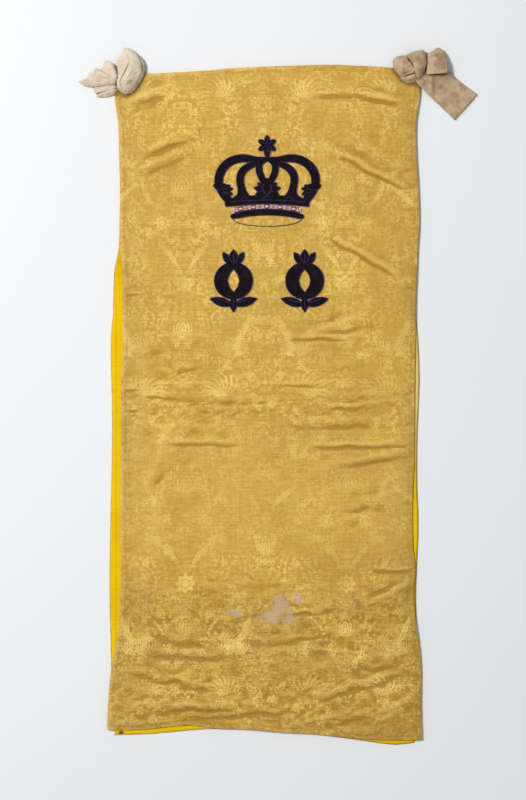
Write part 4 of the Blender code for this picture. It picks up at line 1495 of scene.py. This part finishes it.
# %% Left tie: the fan
# across, down and height (mm) of one edge, the same of the other edge, bulge (mm)
FAN_TOP = (
    (866, 700, 12, 846, 640, 10, 0.6),
    (858, 730, 12, 806, 570, 9.6, 1.6),
    (850, 755, 12, 768, 480, 10, 2.8),
    (838, 775, 11, 705, 432, 10.5, 3.4),
    (836, 785, 11, 640, 438, 10, 3.0),
    (834, 790, 10, 562, 592, 7.0, 2.2),
    (832, 795, 10, 468, 548, 9, 2.6),
    (832, 800, 10, 424, 652, 6.5, 1.6),
    (830, 805, 10, 370, 628, 8, 2.4),
    (830, 808, 10, 308, 738, 5.8, 1.4),
    (828, 812, 10, 183, 780, 6.8, 2.0),
    (828, 816, 9.6, 242, 834, 5.4, 1.2),
    (828, 820, 9.2, 400, 868, 4.8, 1.0),
    (828, 824, 9.0, 448, 826, 5.2, 0.8),
)
FAN_MIDDLE = (
    (850, 840, 8, 480, 800, 3.8, 0.6),
    (850, 852, 8, 446, 868, 4.2, 1.4),
    (852, 868, 8, 438, 928, 4.6, 1.8),
    (854, 882, 7.6, 452, 978, 4.8, 1.2),
    (856, 890, 7.0, 520, 950, 3.6, 0.8),
)
FAN_LOW = (
    (860, 896, 6.4, 600, 922, 3.0, 0.6),
    (862, 902, 6.4, 560, 965, 4.2, 1.2),
    (864, 908, 6.2, 500, 1004, 4.6, 1.4),
    (866, 914, 5.6, 520, 1040, 1.8, 1.0),
    (868, 920, 4.6, 650, 1040, 0.8, 0.8),
    (868, 926, 3.6, 780, 1004, 0.6, 0.4),
)
print("fan", len(FAN_TOP + FAN_MIDDLE + FAN_LOW), "rows")

# %% Left tie: the wing and what lies under it
WING = (
    (905, 945, 9, 1030, 990, 8, 2.5),
    (880, 890, 13, 1075, 950, 10, 5.0),
    (872, 820, 15, 1130, 880, 12, 7.0),
    (862, 720, 15, 1188, 790, 13, 8.0),
    (850, 610, 13, 1238, 690, 14, 7.5),
    (842, 510, 11, 1258, 590, 15, 7.0),
    (842, 432, 9.5, 1248, 505, 15.5, 6.5),
    (880, 378, 8.5, 1224, 420, 15, 5.5),
    (922, 300, 7.5, 1182, 346, 13, 4.5),
    (952, 238, 6.5, 1095, 256, 10.5, 2.4),
    (978, 208, 6, 1030, 210, 8, 0.6),
)
# start across and down, end across and down, half width, height (mm)
WING_CREASES = (
    (1052, 492, 898, 800, 0.75, -5.0),
    (1040, 486, 880, 790, 1.6, 1.5),
    (858, 418, 1004, 452, 1.2, -1.1),
    (862, 404, 1004, 436, 1.2, 0.9),
    (1020, 300, 1070, 470, 1.6, -0.9),
    (1130, 700, 1210, 640, 1.0, -1.6),
    (980, 760, 1130, 560, 2.4, 0.9),
    (960, 860, 1080, 740, 2.0, 0.8),
    (1010, 880, 1150, 740, 1.4, -0.9),
    (900, 560, 1010, 620, 1.6, -0.7),
)
WING_UNDER = (
    (1120, 322, 8, 1200, 328, 7, 0.8),
    (1170, 390, 10, 1262, 398, 7, 1.8),
    (1200, 470, 11, 1302, 480, 6.4, 2.4),
    (1210, 560, 11, 1312, 560, 6, 2.6),
    (1200, 640, 10.5, 1296, 632, 5.9, 2.2),
    (1160, 720, 10, 1256, 704, 5.9, 1.6),
)
WING_FLANK = (
    (1244, 610, 15, 1300, 636, 6.0, 0.8),
    (1206, 730, 13.5, 1264, 738, 5.9, 1.4),
    (1150, 820, 12, 1204, 842, 5.9, 1.8),
    (1090, 900, 10, 1130, 930, 5.9, 1.8),
    (1040, 955, 8, 1066, 985, 5.9, 1.0),
)
NECK_ROLL = (
    (848, 738, 12.5, 872, 742, 13, 0.6),
    (840, 800, 13.5, 890, 796, 18, 1.6),
    (842, 868, 13, 908, 860, 19, 2.2),
    (862, 922, 10.5, 936, 900, 17, 2.4),
    (915, 966, 7.5, 990, 945, 11, 2.0),
    (985, 1000, 6.2, 1050, 975, 9, 1.2),
)
LEFT_CORE = (
    (890, 860, 6, 1050, 950, 6, 2.0),
    (872, 740, 6, 1170, 800, 6, 5.0),
    (866, 600, 5, 1220, 660, 6, 6.0),
    (870, 470, 3, 1230, 520, 4, 6.0),
    (930, 340, 2, 1190, 380, 2, 5.0),
    (970, 250, 1.2, 1090, 280, 1.2, 3.0),
)
print("wing", len(WING), "rows and", len(WING_CREASES), "creases")

# %% Left tie
left_laps = [
    lap(LEFT_VIEW, LEFT_CORE, across=14, steps=4, seed=2),
    lap(LEFT_VIEW, FAN_LOW, smooth=False, crumple=0.34, seed=4),
    lap(LEFT_VIEW, FAN_MIDDLE, smooth=False, crumple=0.34, seed=5),
    lap(LEFT_VIEW, FAN_TOP, smooth=False, across=26, crumple=0.34, seed=6),
    lap(LEFT_VIEW, WING_UNDER, across=10, seed=7),
    lap(LEFT_VIEW, WING_FLANK, across=10, seed=8),
    lap(LEFT_VIEW, WING, across=52, steps=8, crumple=0.36, seed=9, creases=WING_CREASES),
    lap(LEFT_VIEW, NECK_ROLL, across=10, seed=10),
]
print("left tie", sum(len(faces) for _, faces, _ in left_laps), "faces")

# %% Right tie: the flat end and the wing
TAIL = (
    (520, 640, 9.5, 660, 540, 11.5, 0.8),
    (510, 690, 8.0, 820, 530, 11, 1.4),
    (604, 786, 6.4, 948, 512, 9.5, 1.6),
    (734, 908, 2.2, 1062, 598, 3.6, 1.8),
    (850, 1016, 1.0, 1178, 686, 1.4, 1.4),
    (958, 1118, 0.9, 1290, 768, 1.2, 1.2),
    (1062, 1216, 0.9, 1392, 842, 1.1, 0.8),
)
TAIL_CREASES = (
    (744, 590, 772, 930, 2.2, -2.0),
    (712, 590, 738, 910, 2.4, 1.3),
    (560, 650, 640, 740, 1.6, 1.0),
    (600, 640, 660, 730, 1.2, -1.2),
    (900, 700, 1060, 800, 2.2, 0.4),
    (860, 820, 1000, 960, 2.4, -0.4),
    (640, 700, 700, 860, 1.8, 1.1),
    (900, 560, 760, 700, 2.0, -0.7),
    (1040, 760, 1180, 900, 2.2, -0.4),
    (960, 980, 1120, 1080, 2.2, 0.4),
)
SIDE_WING = (
    (636, 574, 13.5, 936, 556, 15.0, 2.0),
    (640, 520, 14.5, 944, 510, 16.0, 3.0),
    (650, 430, 15.0, 940, 410, 14.5, 4.5),
    (650, 350, 14.0, 922, 325, 12.5, 4.5),
    (662, 282, 12.5, 896, 258, 11.0, 3.6),
    (724, 232, 10.5, 862, 204, 10.0, 2.0),
    (796, 182, 9.0, 826, 178, 9.2, 0.4),
)
SIDE_WING_CREASES = (
    (690, 290, 880, 330, 1.4, -0.9),
    (700, 380, 860, 320, 1.6, 0.8),
    (700, 470, 880, 440, 1.6, -0.8),
    (720, 250, 760, 420, 1.4, -0.8),
    (660, 560, 940, 540, 1.2, 0.8),
)
print("flat end", len(TAIL), "rows, wing", len(SIDE_WING), "rows")

# %% Right tie: the knot
KNOT_FACE = (
    (168, 452, 6.2, 158, 385, 6.2, 1.2),
    (196, 515, 6.4, 180, 325, 7.0, 6.0),
    (262, 590, 6.6, 248, 294, 7.4, 9.5),
    (326, 566, 8.6, 326, 288, 9.4, 8.5),
    (392, 552, 12.5, 330, 292, 14.0, 7.5),
    (450, 540, 16.0, 330, 300, 16.5, 5.0),
    (486, 530, 18.5, 318, 306, 17.0, 2.6),
)
KNOT_FLAP = (
    (470, 540, 8.0, 306, 312, 8.0, 2.6),
    (492, 566, 11.0, 348, 284, 10.5, 6.5),
    (500, 612, 11.5, 400, 260, 11.0, 10.0),
    (532, 634, 11.0, 470, 232, 11.0, 13.0),
    (580, 596, 9.5, 540, 216, 9.5, 13.0),
    (626, 540, 9.0, 596, 212, 8.5, 10.0),
    (654, 470, 8.5, 634, 262, 8.0, 6.0),
    (664, 410, 8.0, 656, 330, 8.0, 1.2),
)
KNOT_FLAP_CREASES = (
    (500, 560, 620, 470, 1.4, -1.2),
    (480, 300, 600, 420, 2.0, -0.9),
    (430, 320, 560, 470, 2.2, 0.7),
    (560, 240, 640, 340, 1.6, -0.9),
)
ROLL_END = (
    (262, 602, 6.0, 268, 588, 7.5, 0.6),
    (306, 648, 6.0, 316, 562, 11.0, 2.4),
    (380, 690, 6.0, 392, 536, 14.0, 4.0),
    (450, 682, 6.2, 462, 516, 15.5, 4.0),
    (500, 652, 7.0, 496, 548, 14.0, 2.4),
)
ROLL_CREASES = (
    (286, 606, 478, 552, 1.1, -4.5),
    (296, 584, 450, 530, 0.9, 1.4),
    (330, 640, 480, 604, 1.4, 1.2),
    (330, 672, 480, 650, 1.0, -1.6),
)
KNOT_HEEL = (
    (486, 684, 6.0, 500, 600, 11.0, 1.6),
    (560, 650, 6.4, 600, 556, 11.0, 1.8),
    (640, 590, 8.6, 668, 470, 11.0, 1.2),
)
RIGHT_CORE = (
    (200, 470, 6, 200, 360, 6, 1.5),
    (300, 560, 6, 300, 320, 6, 6.0),
    (430, 600, 6, 430, 290, 6, 10.0),
    (540, 580, 6, 540, 260, 6, 9.0),
    (640, 520, 5, 650, 340, 4, 6.0),
    (760, 540, 3, 760, 300, 2, 6.0),
    (900, 530, 2, 860, 300, 1.2, 5.0),
)
print("knot", len(KNOT_FACE + KNOT_FLAP + ROLL_END + KNOT_HEEL), "rows")

# %% Right tie
right_laps = [
    lap(RIGHT_VIEW, RIGHT_CORE, across=14, steps=4, seed=12),
    lap(RIGHT_VIEW, TAIL, across=40, steps=8, crumple=0.26, seed=13, creases=TAIL_CREASES),
    lap(RIGHT_VIEW, SIDE_WING, across=30, crumple=0.34, seed=14, creases=SIDE_WING_CREASES),
    lap(RIGHT_VIEW, KNOT_HEEL, across=10, seed=15),
    lap(RIGHT_VIEW, KNOT_FACE, across=26, crumple=0.36, seed=17),
    lap(RIGHT_VIEW, ROLL_END, across=20, seed=18, creases=ROLL_CREASES),
    lap(RIGHT_VIEW, KNOT_FLAP, across=34, steps=8, crumple=0.36, seed=19, creases=KNOT_FLAP_CREASES),
]
print("right tie", sum(len(faces) for _, faces, _ in right_laps), "faces")

# %% [markdown]
# ## Linen
# The ties are unbleached plain-weave linen, handled until it is soft. The left one is pale, and the
# right one is browner, with a few faded rose stains. The weave follows the strip through its folds,
# so it reads the UV map, and the stains read the place on the mantle.

# %% Linen finish
# the gap between threads (mm)
LINEN_THREAD = 0.75
SHADE = (0.17, 0.105, 0.06)
ROSE = (0.42, 0.22, 0.16)
UMBER = (0.27, 0.145, 0.09)


def linen_finish(name, pale, dark, shaded, stains_and_shade):
    """Plain weave in two tones, with stain marks and one spot of painted shade, and painted shade in the
    hollows of the heap.
    """
    finish = Finish(name)
    place = finish.in_mm()
    strip = finish.add("ShaderNodeUVMap", {"uv_map": "strip"})
    across, along, _ = finish.split(strip)
    cloud = finish.noise(place, 1 / 11, 3)
    colour = finish.blend(finish.soft_step(cloud, 0.35, 0.68), pale, dark)
    for x, y, reach, tint in stains_and_shade:
        ragged = finish.noise(place, 1 / 5, 2) * reach * 1.2
        far = finish.vector("DISTANCE", finish.vector("MULTIPLY", place, (1, 1, 0)), (x, y, 0))
        share = finish.soft_step(far + ragged, reach * 0.9, reach * 1.6, 0.8, 0)
        colour = finish.blend(share, colour, tint)
    slubs = finish.streaks(strip, 0.5, 18) + finish.streaks(strip, 18, 0.5) - 1
    colour = finish.blend(finish.soft_step(slubs, -0.3, 0.4, 0, 0.3), colour, dark)
    hollow = finish.stored("hollow")
    colour = finish.blend(finish.soft_step(hollow, -0.2, 2.9, 0, shaded), colour, SHADE)
    weave = across.wave(LINEN_THREAD) * along.wave(LINEN_THREAD)
    constants = {"Roughness": 0.9, "Specular IOR Level": 0.2}
    return finish.surface(weave * 0.6 + slubs, 0.12 * MM, constants, {"Base Color": colour})


# name, two tones, share of shade, then x, y, reach (mm) and colour of each stain or spot of painted shade
pale_linen = linen_finish(
    "tie_linen_pale",
    (0.80, 0.68, 0.53),
    (0.67, 0.54, 0.41),
    0.62,
    (
        (-183, 424, 6, (0.62, 0.43, 0.33)),
        (-180, 440, 6, (0.66, 0.62, 0.54)),
        # painted shade on the underside of the wing
        (-172.5, 423, 4, (0.40, 0.29, 0.19)),
        (-168.5, 446, 3, (0.45, 0.34, 0.24)),
    ),
)
brown_linen = linen_finish(
    "tie_linen_brown",
    (0.60, 0.445, 0.28),
    (0.41, 0.275, 0.158),
    1,
    (
        (186, 452.5, 6.5, ROSE),
        (189, 447, 4, ROSE),
        (231, 455, 4, ROSE),
        (227.5, 460.5, 3.6, UMBER),
        (226, 449.5, 6, ROSE),
        (193, 433, 7, (0.68, 0.42, 0.25)),
    ),
)
print("linen has", len(pale_linen.node_tree.nodes), "and", len(brown_linen.node_tree.nodes), "nodes")

# %% [markdown]
# ## Frayed ends
# The cut ends of the linen have lost their hem, so short threads stand out from them, and two long
# ones have come loose from the knots. Each starts on the cut edge, and Geometry Nodes give it its
# thickness and a small sway.

# %% Frayed threads
# start across and down, end across and down, height (mm), number, way out across and down
FRAYED_RIGHT = (
    (1062, 1216, 1392, 842, 1.0, 46, 0.75, 0.66),
    (672, 250, 800, 186, 9.5, 8, -0.4, -0.9),
)
FRAYED_LEFT = (
    (183, 780, 308, 738, 6.0, 9, -1, -0.1),
    (370, 628, 424, 652, 7.0, 6, -0.9, -0.4),
    (640, 438, 768, 470, 9.5, 9, -0.2, -1),
    (500, 1004, 520, 1040, 3.0, 5, -1, 0.3),
    (960, 226, 1080, 240, 7.0, 7, 0, -1),
)
# x, y and height of each point of the two long threads (mm)
LONG_THREADS = (
    ((-197, 464, 7), (-196.5, 474, 7), (-194, 482, 6)),
    ((212, 458, 12), (207, 468, 12), (206, 475, 10)),
)
# how deep a short thread is rooted in the cloth, and the least and most that it stands out (mm)
THREAD_ROOT = 1.2 * MM
LEAST_OUT, MOST_OUT = 0.8, 3.4
LOOSE_THREAD = {"Radius": 0.13 * MM, "Step": 0.8 * MM, "Wander": 1.2 * MM}


def frayed(view, rows, seed):
    """Short threads that stand out from cut edges."""
    random = np.random.default_rng(seed)
    lines = []
    for x0, y0, x1, y1, level, number, out_x, out_y in rows:
        for share in (np.arange(number) + random.uniform(0.1, 0.9, number)) / number:
            x, y = on_view(view, x0 + (x1 - x0) * share, y0 + (y1 - y0) * share)
            reach = random.uniform(LEAST_OUT, MOST_OUT) * MM
            turn = math.atan2(-out_y, out_x) + random.normal(0, 0.35)
            way = np.array((math.cos(turn), math.sin(turn), random.uniform(-0.1, 0.25)))
            start = np.array((x, y, level * MM)) - way * THREAD_ROOT
            lines.append([start, start + way * (reach + THREAD_ROOT)])
    return lines


def thread_mesh(name, lines, material):
    """All threads of one kind in one mesh."""
    points, edges = [], []
    for line in lines:
        edges += [(len(points) + k, len(points) + k + 1) for k in range(len(line) - 1)]
        points += [tuple(float(value) for value in point) for point in line]
    mesh = bpy.data.meshes.new(name)
    mesh.from_pydata(points, edges, [])
    return grown(name, mesh, loose_threads(material), LOOSE_THREAD)


linen_thread = thread_finish("linen_thread", (0.46, 0.36, 0.25), (0.66, 0.55, 0.42))
lines = frayed(RIGHT_VIEW, FRAYED_RIGHT, 21) + frayed(LEFT_VIEW, FRAYED_LEFT, 22)
lines += [[np.array(point) * MM for point in line] for line in LONG_THREADS]
add_object("frayed_threads", thread_mesh("frayed_threads", lines, linen_thread), linen_thread)
print("frayed threads", len(lines))

# %% [markdown]
# ## The ties on their corners
# Each heap of laps becomes one object and takes the place of the frame's plain knot. Its strip is 46
# mm wide.
# A painted shadow lies where a knot sits on the damask. So the front panel gets one more number for
# each of its points, which says how close the nearest knot is, and the damask finish paints the
# shadow from it.

tie_left = add_object("linen_left", heap("linen_left", left_laps), pale_linen)
tie_right = add_object("linen_right", heap("linen_right", right_laps), brown_linen)
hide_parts("tie_left")
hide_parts("tie_right")

# %% Painted shadow beside the knots
KNOT_SHADOW_REACH = 7 * MM


def beside(spots, reach):
    """1 where a point of the front panel lies right beside one of the spots, 0 from the reach on."""
    tree = KDTree(len(spots))
    for number, spot in enumerate(spots):
        tree.insert((spot.x, spot.y, 0), number)
    tree.balance()
    far = [tree.find((px, py, 0))[2] for px, py in zip(plan[0].ravel(), plan[1].ravel())]
    return np.clip(1 - np.array(far) / reach, 0, 1)


tie_spots = [vert.co for tie in (tie_left, tie_right) for vert in tie.data.vertices]
knot_shadow = beside(tie_spots, KNOT_SHADOW_REACH)
keep(front_mesh, "shadow_beside_tie", knot_shadow)
print("grime on", int((knot_shadow > 0).sum()), "points of the front")

# %% [markdown]
# ## Sizes
# The visual model's box is printed beside the frame's, so that a piece that has grown out of it shows.

# %% Sizes
visual_box = [list(corner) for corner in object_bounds()]
for label, (low, high) in (("CAD", cad_box), ("visual", visual_box)):
    print(label, "box", [round((b - a) / MM, 1) for a, b in zip(low, high)], "mm")
